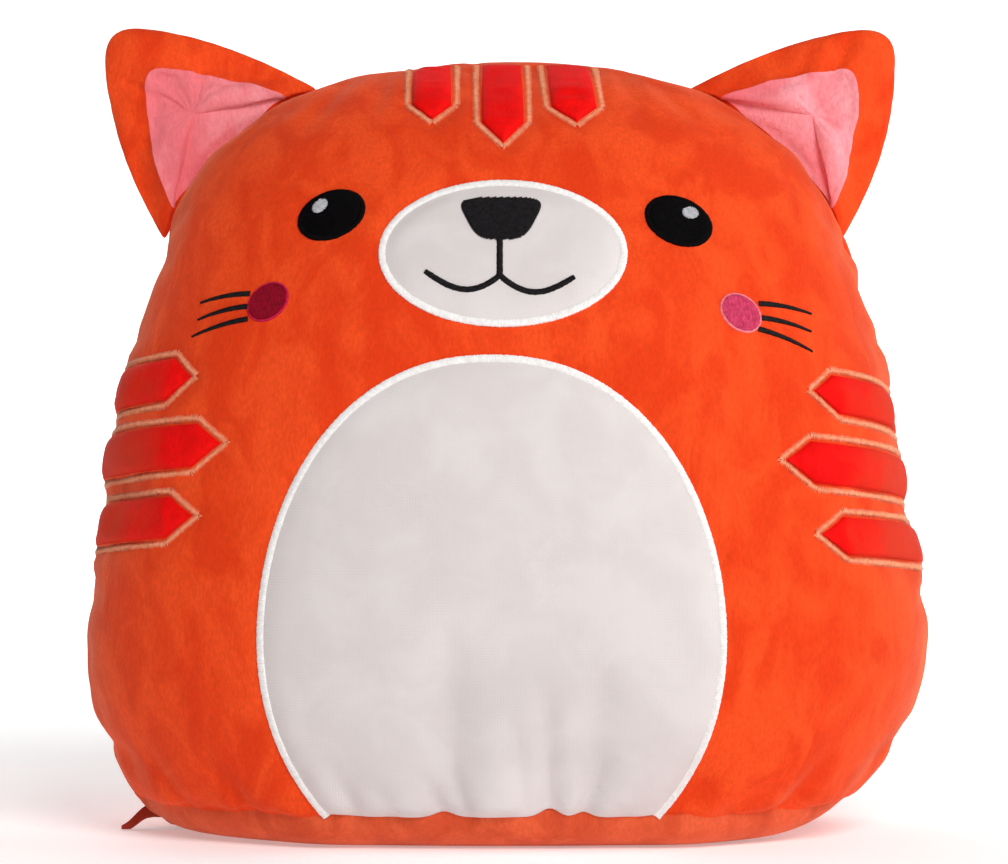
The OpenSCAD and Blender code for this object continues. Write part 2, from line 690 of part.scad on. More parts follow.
// A folded ribbon through the tab's eye, its tail reaching outwards past the corner of the base
module zip_pull_ribbon() {
    bar_x = slider_x - tab_l; // outer edge of the bar that the ribbon folds round
    fold_w = 2.2;
    cloth_t = 0.6;
    low = pin_z - 1.25;
    tall = 2.5;
    tail_t = 1.3;
    tail_h = 3.2;
    reach = 20;
    n = 10;
    color("firebrick") {
        translate([bar_x + 1.5, -fold_w / 2, low]) cube([cloth_t, fold_w, tall]);
        for (z = [low, low + tall - cloth_t])
            translate([bar_x - 1, -fold_w / 2, z]) cube([2.8, fold_w, cloth_t]);
        translate([bar_x - 2, -fold_w / 2, low]) cube([1.5, fold_w, tall]);
        for (i = [0:n - 1]) // the tail, in short lengths that sway a little to either side
            let (x = bar_x - 1.9 - reach * (i + 1) / n, y = 0.35 * sin(360 * i / n))
            translate([x, y - tail_t / 2, 2.3 - tail_h / 2 - 0.4 * i / n])
                cube([reach / n + 0.2, tail_t, tail_h]);
    }
}

// ---------------------------------------------------------------- the assembly

front_panel();
back_panel();
base_front();
base_back();
inner_cover_front();
inner_cover_back();
fibre_filling();
muzzle_patch();
muzzle_border();
nose();
mouth();
eye_left();
eye_right();
eye_highlight_left();
eye_highlight_right();
cheek_left();
cheek_right();
whiskers_left();
whiskers_right();
forehead_stripe_left();
forehead_stripe_centre();
forehead_stripe_right();
forehead_stitching();
side_stripe_left_upper();
side_stripe_left_middle();
side_stripe_left_lower();
side_stripe_right_upper();
side_stripe_right_middle();
side_stripe_right_lower();
side_stitching_left();
side_stitching_right();
belly_patch();
belly_border();
zip_tape_front();
zip_tape_back();
zip_coil();
zip_stops();
zip_slider();
zip_pull_tab();
zip_pull_ribbon();
ear_front_left();
ear_back_left();
ear_inner_left();
ear_filling_left();
ear_front_right();
ear_back_right();
ear_inner_right();
ear_filling_right();
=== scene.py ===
"""A stuffed plush cat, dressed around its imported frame: panels, padding, embroidery, ears and zip."""
import math

import bmesh
import bpy
import numpy as np
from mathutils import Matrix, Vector, kdtree
from mathutils.bvhtree import BVHTree


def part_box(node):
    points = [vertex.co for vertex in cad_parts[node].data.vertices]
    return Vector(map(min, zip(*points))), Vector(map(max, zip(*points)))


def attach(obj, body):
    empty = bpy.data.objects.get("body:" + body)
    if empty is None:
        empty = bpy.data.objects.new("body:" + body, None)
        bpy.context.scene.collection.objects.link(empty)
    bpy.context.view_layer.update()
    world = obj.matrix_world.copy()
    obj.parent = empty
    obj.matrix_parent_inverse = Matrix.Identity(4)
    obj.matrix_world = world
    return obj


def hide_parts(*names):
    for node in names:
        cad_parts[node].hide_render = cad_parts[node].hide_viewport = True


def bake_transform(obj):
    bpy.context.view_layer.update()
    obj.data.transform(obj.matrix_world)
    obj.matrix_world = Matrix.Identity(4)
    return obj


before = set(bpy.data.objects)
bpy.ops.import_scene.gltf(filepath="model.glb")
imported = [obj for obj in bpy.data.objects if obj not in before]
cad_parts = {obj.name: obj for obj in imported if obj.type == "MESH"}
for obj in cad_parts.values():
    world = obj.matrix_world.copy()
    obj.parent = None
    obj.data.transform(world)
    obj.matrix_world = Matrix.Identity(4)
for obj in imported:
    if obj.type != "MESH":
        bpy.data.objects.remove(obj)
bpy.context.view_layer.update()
MM = 0.001

# ------------------------------------------------------------------ driving sizes, from the frame


def box_of(node):
    low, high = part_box(node)
    return np.array(low, float), np.array(high, float)


panel_low, panel_high = box_of("front_panel")
BODY_W = panel_high[0] - panel_low[0]
BODY_H = panel_high[2]
HALF_D = -panel_low[1]
SQUARE = 2.35  # 2 would make the body's horizontal outline an ellipse

# Rows of the body, bottom to top: height, half width and half depth as parts of the whole
ROWS = np.array([
    [0.000, 0.685, 0.62],
    [0.010, 0.790, 0.74],
    [0.041, 0.850, 0.83],
    [0.103, 0.925, 0.91],
    [0.190, 0.985, 0.98],
    [0.290, 1.000, 1.00],
    [0.425, 0.970, 0.99],
    [0.565, 0.930, 0.95],
    [0.690, 0.860, 0.86],
    [0.785, 0.800, 0.74],
    [0.865, 0.715, 0.60],
    [0.925, 0.590, 0.45],
    [0.968, 0.435, 0.29],
    [0.992, 0.240, 0.13],
    [1.000, 0.060, 0.00],
])
LAST = len(ROWS) - 1
SEAM_ROW = 2  # the row where the base is sewn on
SEAM_Z = ROWS[SEAM_ROW, 0] * BODY_H

# ------------------------------------------------------------------ small maths


def spow(v, p):
    return np.sign(v) * np.abs(v) ** p


def unit(v):
    return v / np.maximum(np.linalg.norm(v, axis=-1, keepdims=True), 1e-12)


def smoothstep(low, high, v):
    t = np.clip((v - low) / (high - low), 0, 1)
    return t * t * (3 - 2 * t)


def catmull_weights(t):
    """Weights of the four neighbours of a point that lies t of the way from the second to the third."""
    return np.stack([
        0.5 * (-t + 2 * t ** 2 - t ** 3),
        0.5 * (2 - 5 * t ** 2 + 3 * t ** 3),
        0.5 * (t + 4 * t ** 2 - 3 * t ** 3),
        0.5 * (-t ** 2 + t ** 3),
    ], -1)


def bezier(p, c, q, count):
    t = np.linspace(0, 1, count)[:, None]
    p, c, q = (np.array(v, float) for v in (p, c, q))
    return (1 - t) ** 2 * p + 2 * t * (1 - t) * c + t ** 2 * q


def row_at(t):
    """Height, half width and half depth at row number t, which may lie between two rows."""
    t = np.clip(np.asarray(t, float), 0, LAST)
    i = np.minimum(t.astype(int), LAST - 1)
    weights = catmull_weights(t - i)
    near = np.stack([ROWS[np.clip(i + k, 0, LAST)] for k in (-1, 0, 1, 2)], -2)
    r = (weights[..., None] * near).sum(-2)
    return r[..., 0] * BODY_H, r[..., 1] * BODY_W / 2, r[..., 2] * HALF_D


FINE_T = np.linspace(0, LAST, 2000)
FINE_Z = row_at(FINE_T)[0]


def row_of(z):
    return np.interp(z, FINE_Z, FINE_T)


def section(angle, half_w, half_d):
    """x and y on a horizontal outline; angle 0 is the right side seam and 90 the middle of the front."""
    a = np.radians(angle)
    return half_w * spow(np.cos(a), 2 / SQUARE), -half_d * spow(np.sin(a), 2 / SQUARE)


def even_noise(count, seed, smooth=1):
    """Seeded values between about -1 and 1, smoothed over their neighbours."""
    values = np.random.default_rng(seed).uniform(-1, 1, count)
    for _ in range(smooth - 1):
        values = (values + np.roll(values, 1) + np.roll(values, -1)) / 2
    return values


# ------------------------------------------------------------------ meshes and pieces


class Heap:
    """Collects the points and faces of one piece from grids of points."""

    def __init__(self):
        self.points = []
        self.faces = []
        self.count = 0

    def grid(self, points, wrap_rows=False, wrap_cols=False, caps=False):
        rows, cols = points.shape[:2]
        index = np.arange(rows * cols).reshape(rows, cols) + self.count
        right = np.roll(index, -1, 1)
        below = np.roll(index, -1, 0)
        corner = np.roll(below, -1, 1)
        keep = (slice(0, rows if wrap_rows else rows - 1), slice(0, cols if wrap_cols else cols - 1))
        quads = np.stack([index[keep], right[keep], corner[keep], below[keep]], -1)
        self.faces.extend(quads.reshape(-1, 4).tolist())
        if caps:
            self.faces.append(index[0, ::-1].tolist())
            self.faces.append(index[-1].tolist())
        self.points.append(points.reshape(-1, 3))
        self.count += rows * cols
        return index

    def pad(self, tops, unders):
        """A closed pad from rings of points that shrink to the middle, above and below."""
        top = self.grid(tops, wrap_cols=True)
        under = self.grid(unders, wrap_cols=True)
        rim = np.stack([top[0], np.roll(top[0], -1), np.roll(under[0], -1), under[0]], -1)
        self.faces.extend(rim.tolist())
        self.faces.append(top[-1].tolist())
        self.faces.append(under[-1, ::-1].tolist())


def make_piece(name, points, faces, material, body=None, stands_for=(), recalc=True):
    mesh = bpy.data.meshes.new(name)
    mesh.from_pydata(np.asarray(points).tolist(), [], faces)
    if recalc:
        work = bmesh.new()
        work.from_mesh(mesh)
        bmesh.ops.recalc_face_normals(work, faces=work.faces)
        work.to_mesh(mesh)
        work.free()
    mesh.polygons.foreach_set("use_smooth", [True] * len(mesh.polygons))
    mesh.update()
    obj = bpy.data.objects.new(name, mesh)
    bpy.context.scene.collection.objects.link(obj)
    mesh.materials.append(material)
    if body:
        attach(obj, body)
    if stands_for:
        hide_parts(*stands_for)
    return obj


def heap_piece(heap, name, material, stands_for=(), body="body"):
    return make_piece(name, np.concatenate(heap.points), heap.faces, material, body, stands_for)


def read_mesh(obj):
    """Points, normals, faces and material numbers of an object with its modifiers worked out."""
    bpy.context.view_layer.update()
    shown = obj.evaluated_get(bpy.context.evaluated_depsgraph_get())
    mesh = shown.to_mesh()
    points = np.zeros(len(mesh.vertices) * 3)
    normals = np.zeros(len(mesh.vertices) * 3)
    mesh.vertices.foreach_get("co", points)
    mesh.vertex_normals.foreach_get("vector", normals)
    faces = [list(p.vertices) for p in mesh.polygons]
    kinds = np.array([p.material_index for p in mesh.polygons])
    shown.to_mesh_clear()
    return points.reshape(-1, 3), normals.reshape(-1, 3), faces, kinds


def compact(points, faces):
    """The points that the faces use, the faces renumbered, and the new number of each old point."""
    used = np.unique(np.concatenate([np.array(f) for f in faces]))
    renumber = np.zeros(len(points), int)
    renumber[used] = np.arange(len(used))
    return points[used], [renumber[f].tolist() for f in faces], renumber


def pick_faces(points, faces, kinds, wanted):
    """The points and faces of the wanted kinds, renumbered."""
    return compact(points, [f for f, k in zip(faces, kinds) if k in wanted])[:2]


def work_object(points, faces, kinds):
    """A scratch object that holds a mesh while it is inflated and smoothed."""
    mesh = bpy.data.meshes.new("work")
    mesh.from_pydata(points.tolist(), [], faces)
    for k in range(int(max(kinds)) + 1):
        mesh.materials.append(None)
    mesh.polygons.foreach_set("material_index", np.array(kinds, int))
    obj = bpy.data.objects.new("work", mesh)
    bpy.context.scene.collection.objects.link(obj)
    return obj


def inflate(obj, held, pressure, growth, cap, frames=20):
    """Blows the cloth up between its held points by simulation, and caps how far a point may move."""
    mesh = obj.data
    start = np.zeros(len(mesh.vertices) * 3)
    mesh.vertices.foreach_get("co", start)
    start = start.reshape(-1, 3)
    group = obj.vertex_groups.new(name="held")
    group.add([int(i) for i in np.flatnonzero(held)], 1.0, "REPLACE")
    cloth = obj.modifiers.new("Cloth", "CLOTH")
    cloth.settings.quality = 6
    cloth.settings.mass = 0.15
    cloth.settings.tension_stiffness = 25
    cloth.settings.compression_stiffness = 25
    cloth.settings.shear_stiffness = 10
    cloth.settings.bending_stiffness = 0.6
    cloth.settings.use_pressure = True
    cloth.settings.uniform_pressure_force = pressure
    cloth.settings.shrink_min = -growth
    cloth.settings.vertex_group_mass = "held"
    cloth.settings.effector_weights.gravity = 0
    cloth.collision_settings.use_collision = False
    cloth.point_cache.frame_start = 1
    cloth.point_cache.frame_end = frames
    for f in range(1, frames + 1):
        bpy.context.scene.frame_set(f)
    moved = read_mesh(obj)[0] - start
    obj.modifiers.remove(cloth)
    bpy.context.scene.frame_set(1)
    length = np.linalg.norm(moved, axis=1, keepdims=True)
    moved *= np.minimum(1, cap / np.maximum(length, 1e-9))
    mesh.vertices.foreach_set("co", (start + moved).ravel())
    mesh.update()


def subdivided(obj):
    """The mesh after one subdivision; the scratch object is removed."""
    mod = obj.modifiers.new("Subdivision", "SUBSURF")
    mod.levels = 1
    mod.render_levels = 1
    result = read_mesh(obj)
    bpy.data.objects.remove(obj)
    return result


def press(points, normals, line, depth, width):
    """Pushes the points near a line inwards: a sewn groove. depth may vary along the line."""
    tree = kdtree.KDTree(len(line))
    for i, p in enumerate(line):
        tree.insert(p, i)
    tree.balance()
    depth = np.broadcast_to(depth, len(line))
    reach = width * 2.6
    near = np.flatnonzero((points > line.min(0) - reach).all(1) & (points < line.max(0) + reach).all(1))
    for k in near:
        _, i, dist = tree.find(points[k])
        if dist < reach:
            points[k] -= normals[k] * depth[i] * math.exp(-(dist / width) ** 2)


# ------------------------------------------------------------------ materials


def new_material(name):
    mat = bpy.data.materials.new(name)
    mat.use_nodes = True
    tree = mat.node_tree
    return mat, tree, tree.nodes["Principled BSDF"]


def noise(tree, scale, detail=3.0, roughness=0.5, distortion=0.0, stretch=(1, 1, 1)):
    """A noise value over the object's own coordinates, with features about 1/scale metres wide."""
    coord = tree.nodes.new("ShaderNodeTexCoord")
    mapping = tree.nodes.new("ShaderNodeMapping")
    mapping.inputs["Scale"].default_value = stretch
    tex = tree.nodes.new("ShaderNodeTexNoise")
    tex.inputs["Scale"].default_value = scale
    tex.inputs["Detail"].default_value = detail
    tex.inputs["Roughness"].default_value = roughness
    tex.inputs["Distortion"].default_value = distortion
    tree.links.new(coord.outputs["Object"], mapping.inputs["Vector"])
    tree.links.new(mapping.outputs["Vector"], tex.inputs["Vector"])
    return tex.outputs["Fac"]


def ramp(tree, value, low, high, out_low=0.0, out_high=1.0):
    node = tree.nodes.new("ShaderNodeMapRange")
    node.interpolation_type = "SMOOTHSTEP"
    for name, v in (("From Min", low), ("From Max", high), ("To Min", out_low), ("To Max", out_high)):
        node.inputs[name].default_value = v
    tree.links.new(value, node.inputs["Value"])
    return node.outputs["Result"]


def blend_colours(tree, factor, a, b):
    """A mix of two colours, each given as three numbers or as a node's output."""
    node = tree.nodes.new("ShaderNodeMix")
    node.data_type = "RGBA"
    tree.links.new(factor, node.inputs["Factor"])
    for name, v in (("A", a), ("B", b)):
        socket = [s for s in node.inputs if s.name == name and s.type == "RGBA"][0]
        if isinstance(v, (tuple, list)):
            socket.default_value = (*v, 1)
        else:
            tree.links.new(v, socket)
    return [s for s in node.outputs if s.type == "RGBA"][0]


def bump(tree, bsdf, layers):
    """Stacks bump layers, each (height value, distance in metres, strength)."""
    normal = None
    for height, distance, strength in layers:
        node = tree.nodes.new("ShaderNodeBump")
        node.inputs["Distance"].default_value = distance
        node.inputs["Strength"].default_value = strength
        tree.links.new(height, node.inputs["Height"])
        if normal is not None:
            tree.links.new(normal, node.inputs["Normal"])
        normal = node.outputs["Normal"]
    tree.links.new(normal, bsdf.inputs["Normal"])


def seam_shade_mask(tree):
    """The mask of the painted shade and sheen: a value that rises towards the body's side seams, along an
    edge that wanders.
    """
    coord = tree.nodes.new("ShaderNodeTexCoord")
    split = tree.nodes.new("ShaderNodeSeparateXYZ")
    tree.links.new(coord.outputs["Object"], split.inputs["Vector"])
    out = tree.nodes.new("ShaderNodeMath")
    out.operation = "ABSOLUTE"
    tree.links.new(split.outputs["X"], out.inputs[0])
    wander = tree.nodes.new("ShaderNodeMath")
    wander.operation = "MULTIPLY_ADD"
    wander.inputs[1].default_value = 0.030
    tree.links.new(noise(tree, 60, 3, 0.6, 0.5), wander.inputs[0])
    tree.links.new(out.outputs["Value"], wander.inputs[2])
    return ramp(tree, wander.outputs["Value"], 0.135, 0.160, 0.0, 0.8)


def plush(name, deep, light, tint, sheen, nap=55.0, seam_shade_and_sheen=None):
    """Short-pile plush: brushed patches of nap, a fine pile and a pale sheen at the edges.

    The last colour, if given, is painted in patches near the body's side seams: painted shade and sheen
    where the plush turns away to the sides.
    """
    mat, tree, bsdf = new_material(name)
    patches = ramp(tree, noise(tree, nap, 3, 0.55, 0.8, (1, 1, 0.55)), 0.36, 0.66)
    fine = ramp(tree, noise(tree, 900, 3, 0.6, 0.0, (1, 1, 0.5)), 0.3, 0.7, 0.0, 0.35)
    worn = blend_colours(tree, patches, deep, light)
    dark = blend_colours(tree, fine, worn, tuple(0.72 * c for c in deep))
    # painted shade and sheen: a darker, browner red in patches near the side seams
    if seam_shade_and_sheen:
        dark = blend_colours(tree, seam_shade_mask(tree), dark, seam_shade_and_sheen)
    tree.links.new(dark, bsdf.inputs["Base Color"])
    bsdf.inputs["Roughness"].default_value = 0.82
    bsdf.inputs["Specular IOR Level"].default_value = 0.15
    bsdf.inputs["Sheen Weight"].default_value = sheen
    bsdf.inputs["Sheen Roughness"].default_value = 0.38
    bsdf.inputs["Sheen Tint"].default_value = (*tint, 1)
    bump(tree, bsdf, [
        (noise(tree, 210, 2, 0.5, 0.4, (1, 1, 0.6)), 0.8 * MM, 0.28),
        (noise(tree, 1500, 3, 0.65, 0.0, (1, 1, 0.45)), 0.6 * MM, 0.55),
    ])
    return mat


def woven(name, colour, shade, pitch=0.5 * MM, sheen=0.25, roughness=0.8):
    """Smooth woven or knitted cloth with a fine grid of yarns."""
    mat, tree, bsdf = new_material(name)
    coord = tree.nodes.new("ShaderNodeTexCoord")
    waves = []
    for axis in ("X", "Z"):
        wave = tree.nodes.new("ShaderNodeTexWave")
        wave.bands_direction = axis
        wave.inputs["Scale"].default_value = 0.314 / pitch / 2
        wave.inputs["Distortion"].default_value = 0.6
        wave.inputs["Detail"].default_value = 1.0
        tree.links.new(coord.outputs["Object"], wave.inputs["Vector"])
        waves.append(wave.outputs["Fac"])
    grid = tree.nodes.new("ShaderNodeMath")
    grid.operation = "MULTIPLY"
    tree.links.new(waves[0], grid.inputs[0])
    tree.links.new(waves[1], grid.inputs[1])
    soft = ramp(tree, noise(tree, 45, 3, 0.5, 0.5), 0.35, 0.7)
    base = blend_colours(tree, soft, shade, colour)
    tree.links.new(base, bsdf.inputs["Base Color"])
    bsdf.inputs["Roughness"].default_value = roughness
    bsdf.inputs["Specular IOR Level"].default_value = 0.2
    bsdf.inputs["Sheen Weight"].default_value = sheen
    bsdf.inputs["Sheen Roughness"].default_value = 0.4
    bump(tree, bsdf, [
        (noise(tree, 160, 2, 0.5, 0.3), 0.5 * MM, 0.22),
        (noise(tree, 1300, 2, 0.6), 0.25 * MM, 0.35),
        (grid.outputs["Value"], 0.12 * MM, 0.35),
    ])
    return mat


def thread(name, colour, shade, roughness=0.42, sheen=0.2, gloss=0.3):
    """Embroidery thread: a slight gloss, and small changes of shade from stitch to stitch."""
    mat, tree, bsdf = new_material(name)
    vary = ramp(tree, noise(tree, 700, 2, 0.6), 0.3, 0.7)
    tree.links.new(blend_colours(tree, vary, shade, colour), bsdf.inputs["Base Color"])
    bsdf.inputs["Roughness"].default_value = roughness
    bsdf.inputs["Specular IOR Level"].default_value = gloss
    bsdf.inputs["Sheen Weight"].default_value = sheen
    bsdf.inputs["Sheen Roughness"].default_value = 0.3
    bump(tree, bsdf, [(noise(tree, 4200, 2, 0.5), 0.08 * MM, 0.4)])
    return mat


def metal(name, colour, roughness):
    mat, tree, bsdf = new_material(name)
    scuff = ramp(tree, noise(tree, 900, 4, 0.6, 0.2, (1, 1, 0.2)), 0.35, 0.7, roughness, roughness + 0.18)
    tree.links.new(scuff, bsdf.inputs["Roughness"])
    tone = blend_colours(tree, noise(tree, 350, 3), tuple(0.75 * c for c in colour), colour)
    tree.links.new(tone, bsdf.inputs["Base Color"])
    bsdf.inputs["Metallic"].default_value = 1.0
    bump(tree, bsdf, [(noise(tree, 2400, 3), 0.05 * MM, 0.25)])
    return mat


ORANGE = plush("orange plush", (0.82, 0.046, 0.004), (0.97, 0.084, 0.012), (1.0, 0.50, 0.28), 0.42)
BASE_ORANGE = plush("base plush", (0.70, 0.085, 0.028), (0.86, 0.135, 0.048), (1.0, 0.52, 0.32), 0.4)
PINK = plush("pink plush", (0.92, 0.20, 0.23), (1.0, 0.38, 0.42), (1.0, 0.78, 0.80), 0.35, 40.0)
# The red velvet is painted a darker, browner red near the side seams: painted shade and sheen.
RED = plush("red velvet", (0.86, 0.001, 0.0005), (1.0, 0.001, 0.0005), (1.0, 0.20, 0.12), 0.03, 60.0,
            seam_shade_and_sheen=(0.66, 0.040, 0.010))
# The white cloth's slight pink tint is painted bounce light from the orange plush around it.
WHITE_CLOTH = woven("white cloth", (0.74, 0.69, 0.685), (0.695, 0.64, 0.635), 0.5 * MM, 0.12)
WHITE_THREAD = thread("white thread", (0.97, 0.96, 0.95), (0.86, 0.84, 0.83), 0.5)
BLACK_THREAD = thread("black thread", (0.012, 0.010, 0.012), (0.004, 0.003, 0.004), 0.5, 0.04, 0.12)
EYE_THREAD = thread("eye thread", (0.003, 0.002, 0.003), (0.001, 0.001, 0.001), 0.55, 0.0, 0.05)
GREY_THREAD = thread("grey thread", (0.60, 0.60, 0.63), (0.42, 0.42, 0.45))
# The cheek threads are two copies of one thread: a darker one with painted shade for the left cheek, a
# lighter one with painted sheen for the right.
CHEEK_THREAD_SHADE = thread("cheek thread painted shade", (0.34, 0.0005, 0.020), (0.22, 0.0005, 0.012), 0.5, 0.0, 0.10)
CHEEK_THREAD_SHEEN = thread("cheek thread painted sheen", (0.76, 0.065, 0.175), (0.56, 0.032, 0.105), 0.5, 0.1, 0.15)
CHEEK_EDGE_SHADE = thread("cheek edge thread painted shade", (0.62, 0.012, 0.07), (0.44, 0.006, 0.04), 0.5, 0.0, 0.12)
CHEEK_EDGE_SHEEN = thread("cheek edge thread painted sheen", (0.92, 0.26, 0.30), (0.80, 0.15, 0.18), 0.5, 0.1, 0.15)
SALMON_THREAD = thread("salmon thread", (1.0, 0.42, 0.23), (0.84, 0.25, 0.11), 0.5, 0.4)
TAPE_CLOTH = woven("zip tape", (0.72, 0.10, 0.03), (0.60, 0.07, 0.02), 0.8 * MM)
COIL_NYLON = thread("zip nylon", (0.80, 0.13, 0.04), (0.68, 0.09, 0.03), 0.3, 0.0)
ZIP_METAL = metal("zip metal", (0.66, 0.66, 0.68), 0.28)
RIBBON_CLOTH = woven("ribbon", (0.50, 0.055, 0.02), (0.36, 0.035, 0.015), 0.4 * MM, 0.4, 0.5)
COVER_CLOTH = woven("inner cover", (0.84, 0.82, 0.78), (0.76, 0.74, 0.70), 0.9 * MM)
FIBRE = plush("fibre filling", (0.80, 0.80, 0.80), (0.90, 0.90, 0.90), (1.0, 1.0, 1.0), 0.3, 80.0)

# ------------------------------------------------------------------ the stuffed body

CELL = 5.2 * MM  # size of a cell of the mesh that is inflated
NEAR_SEAM = np.array([1.8, 4.0, 7.2]) * MM  # closer rows beside a seam
START_SLACK = 0.986  # the body starts a little small and is blown up to size
zip_low, zip_high = box_of("zip_coil")
SLOT_HALF = 3.6 * MM
SLOT_END = zip_high[0] + 5 * MM


def spaced(curve_length):
    """Distances along a curve, a cell apart, with closer ones beside both ends."""
    inner = curve_length - 2 * NEAR_SEAM[-1]
    count = max(2, round(inner / CELL))
    middle = NEAR_SEAM[-1] + inner * np.arange(1, count) / count
    return np.concatenate([[0], NEAR_SEAM, middle, curve_length - NEAR_SEAM[::-1], [curve_length]])


def column_angles():
    fine = np.linspace(0, 180, 2000)
    _, half_w, half_d = row_at(6)
    x, y = section(fine, half_w, half_d)
    length = np.concatenate([[0], np.cumsum(np.hypot(np.diff(x), np.diff(y)))])
    return np.interp(spaced(length[-1]), length, fine)


def row_numbers():
    fine = np.linspace(SEAM_ROW, LAST, 2000)
    z, _, half_d = row_at(fine)
    length = np.concatenate([[0], np.cumsum(np.hypot(np.diff(z), np.diff(half_d)))])
    return np.interp(spaced(length[-1]), length, fine)


# Gathers in the front of the base seam: x, how far the seam rises there, how wide, in mm
GATHERS = [(-61, 0.8, 7), (-21, 2.0, 4.5), (17, 3.0, 4.5), (29, 1.8, 3.5), (58, 0.9, 6)]


def seam_rise(x):
    return sum(rise * MM * np.exp(-((x / MM - at) / wide) ** 2) for at, rise, wide in GATHERS)


def body_grid():
    """Points, faces, kinds and held points of the body: 0 front, 1 back, 2 base front, 3 base back."""
    half = column_angles()
    n = len(half) - 1
    angles = np.concatenate([half, 360 - half[-2:0:-1]])
    cols = len(angles)
    rows = row_numbers()
    z, half_w, half_d = (v[:, None] for v in row_at(rows))
    x, y = section(angles[None, :], half_w, half_d)
    slack = 1 - (1 - START_SLACK) * smoothstep(0, 30 * MM, z - SEAM_Z) * smoothstep(0, 25 * MM, BODY_H - z)
    points = np.stack([x * slack, y * slack, np.broadcast_to(z, x.shape)], -1)
    index = np.arange(len(rows) * cols).reshape(len(rows), cols)
    for j in range(1, n):
        index[-1, cols - j] = index[-1, j]  # the back meets the front along the top seam
    faces = []
    kinds = []
    for r in range(len(rows) - 1):
        for j in range(cols):
            k = (j + 1) % cols
            face = [index[r, j], index[r + 1, j], index[r + 1, k], index[r, k]]
            faces.append([int(v) for v in dict.fromkeys(face)])
            kinds.append(0 if j < n else 1)
    points = points.reshape(-1, 3)
    front = index[0, :n + 1]
    points[front, 2] += seam_rise(points[front, 0])
    held = np.zeros(len(points), bool)
    held[index[0]] = True
    held[index[-1]] = True
    held[index[:, 0]] = True
    held[index[:, n]] = True
    for kind, first in ((2, 0), (3, n)):
        ring = [index[0, (first + j) % cols] for j in range(n + 1)]
        more, new_faces = base_half(half, ring, len(points), -1 if kind == 2 else 1)
        points = np.concatenate([points, more])
        faces += new_faces
        kinds += [kind] * len(new_faces)
        held = np.concatenate([held, np.ones(len(more), bool)])
    return points, faces, np.array(kinds), held


def base_half(half, ring, offset, side):
    """One half of the base, from the seam down to the floor and in to the edge of the zip's slot."""
    angles = half if side < 0 else half[::-1]
    _, rest_w, rest_d = row_at(0)
    lip_w = rest_w - 9 * MM
    rows = [(*row_at(t), 0.0) for t in (1.55, 1.1, 0.7, 0.35, 0.12, 0.0)]
    for part in (0.85, 0.65, 0.45, 0.25, 0.1):
        rows.append((0.0, lip_w + (rest_w - lip_w) * part, rest_d * part, 0.0))
    for z, off in ((0.2, 0.9), (1.2, 0.1), (3.0, 0.0), (5.0, 0.6), (6.0, 2.4), (5.2, 4.6)):
        rows.append((z * MM, lip_w, 0.0, off * MM))
    points = []
    for k, (z, half_w, half_d, off) in enumerate(rows):
        x, y = section(angles, half_w, half_d)
        slot = np.where(x < SLOT_END, SLOT_HALF, 0.06 * MM) * (0.55 if k == 0 else 1)
        edge = np.sin(np.radians(angles)) ** 0.3
        y = side * (np.maximum(slot, np.abs(y)) + off * edge)
        points.append(np.stack([x, y, np.full(len(x), z)], -1))
    n = len(angles)
    index = [list(ring)] + [[offset + k * n + j for j in range(n)] for k in range(len(rows))]
    faces = [
        [int(index[k][j]), int(index[k][j + 1]), int(index[k + 1][j + 1]), int(index[k + 1][j])]
        for k in range(len(rows)) for j in range(n - 1)
    ]
    return np.concatenate(points), faces


class SkinMap:
    """The body's surface over two even coordinates, read back smoothly between its samples."""

    def __init__(self, tree, us, vs, ray):
        self.start = (us[0], vs[0])
        self.step = (us[1] - us[0], vs[1] - vs[0])
        self.size = (len(us), len(vs))
        self.points = np.zeros((len(us), len(vs), 3))
        for i, u in enumerate(us):
            last = None
            for j, v in enumerate(vs):
                origin, direction = ray(u, v)
                hit = tree.ray_cast(Vector(origin), Vector(direction))[0]
                last = hit if hit is not None else (last or Vector(origin))
                self.points[i, j] = last
        along_u = np.gradient(self.points, axis=0)
        along_v = np.gradient(self.points, axis=1)
        normals = unit(np.cross(along_u, along_v))
        middle = np.array([0, 0, BODY_H / 2])
        inward = ((self.points - middle) * normals).sum(-1) < 0
        normals[inward] *= -1
        self.normals = normals

    def read(self, field, u, v):
        place = []
        for value, start, step, size in zip((u, v), self.start, self.step, self.size):
            at = (np.asarray(value, float) - start) / step
            cell = np.clip(np.floor(at).astype(int), 1, size - 3)
            place.append((cell, catmull_weights(np.clip(at - cell, -1, 2))))
        (i, wu), (j, wv) = place
        total = 0
        for a in range(4):
            for b in range(4):
                total = total + (wu[..., a] * wv[..., b])[..., None] * field[i + a - 1, j + b - 1]
        return total

    def at(self, u, v, lift=0.0):
        lift = np.asarray(lift, float)
        return self.read(self.points, u, v) + self.normal(u, v) * lift[..., None]

    def normal(self, u, v):
        return unit(self.read(self.normals, u, v))


def front_ray(x, z):
    return (x, -0.3, z), (0, 1, 0)


def side_ray(angle, z):
    """A level ray towards the body's surface at an angle round it."""
    _, half_w, half_d = row_at(row_of(z))
    x, y = section(angle, half_w, half_d)
    ahead = section(angle + 0.5, half_w, half_d)
    behind = section(angle - 0.5, half_w, half_d)
    out = unit(np.array([-(ahead[1] - behind[1]), ahead[0] - behind[0], 0.0]))
    if out[0] * x + out[1] * y < 0:
        out = -out
    return tuple(np.array([x, y, z]) + out * 0.05), tuple(-out)


def skin_maps(points, faces):
    tree = BVHTree.FromPolygons(points.tolist(), faces)
    heights = np.arange(6, BODY_H / MM - 0.3, 1.6) * MM
    face = SkinMap(tree, np.arange(-150, 150.1, 1.6) * MM, heights, front_ray)
    side = SkinMap(tree, np.arange(0, 180.1, 0.9), heights, side_ray)
    return face, side


# ------------------------------------------------------------------ outlines on the body


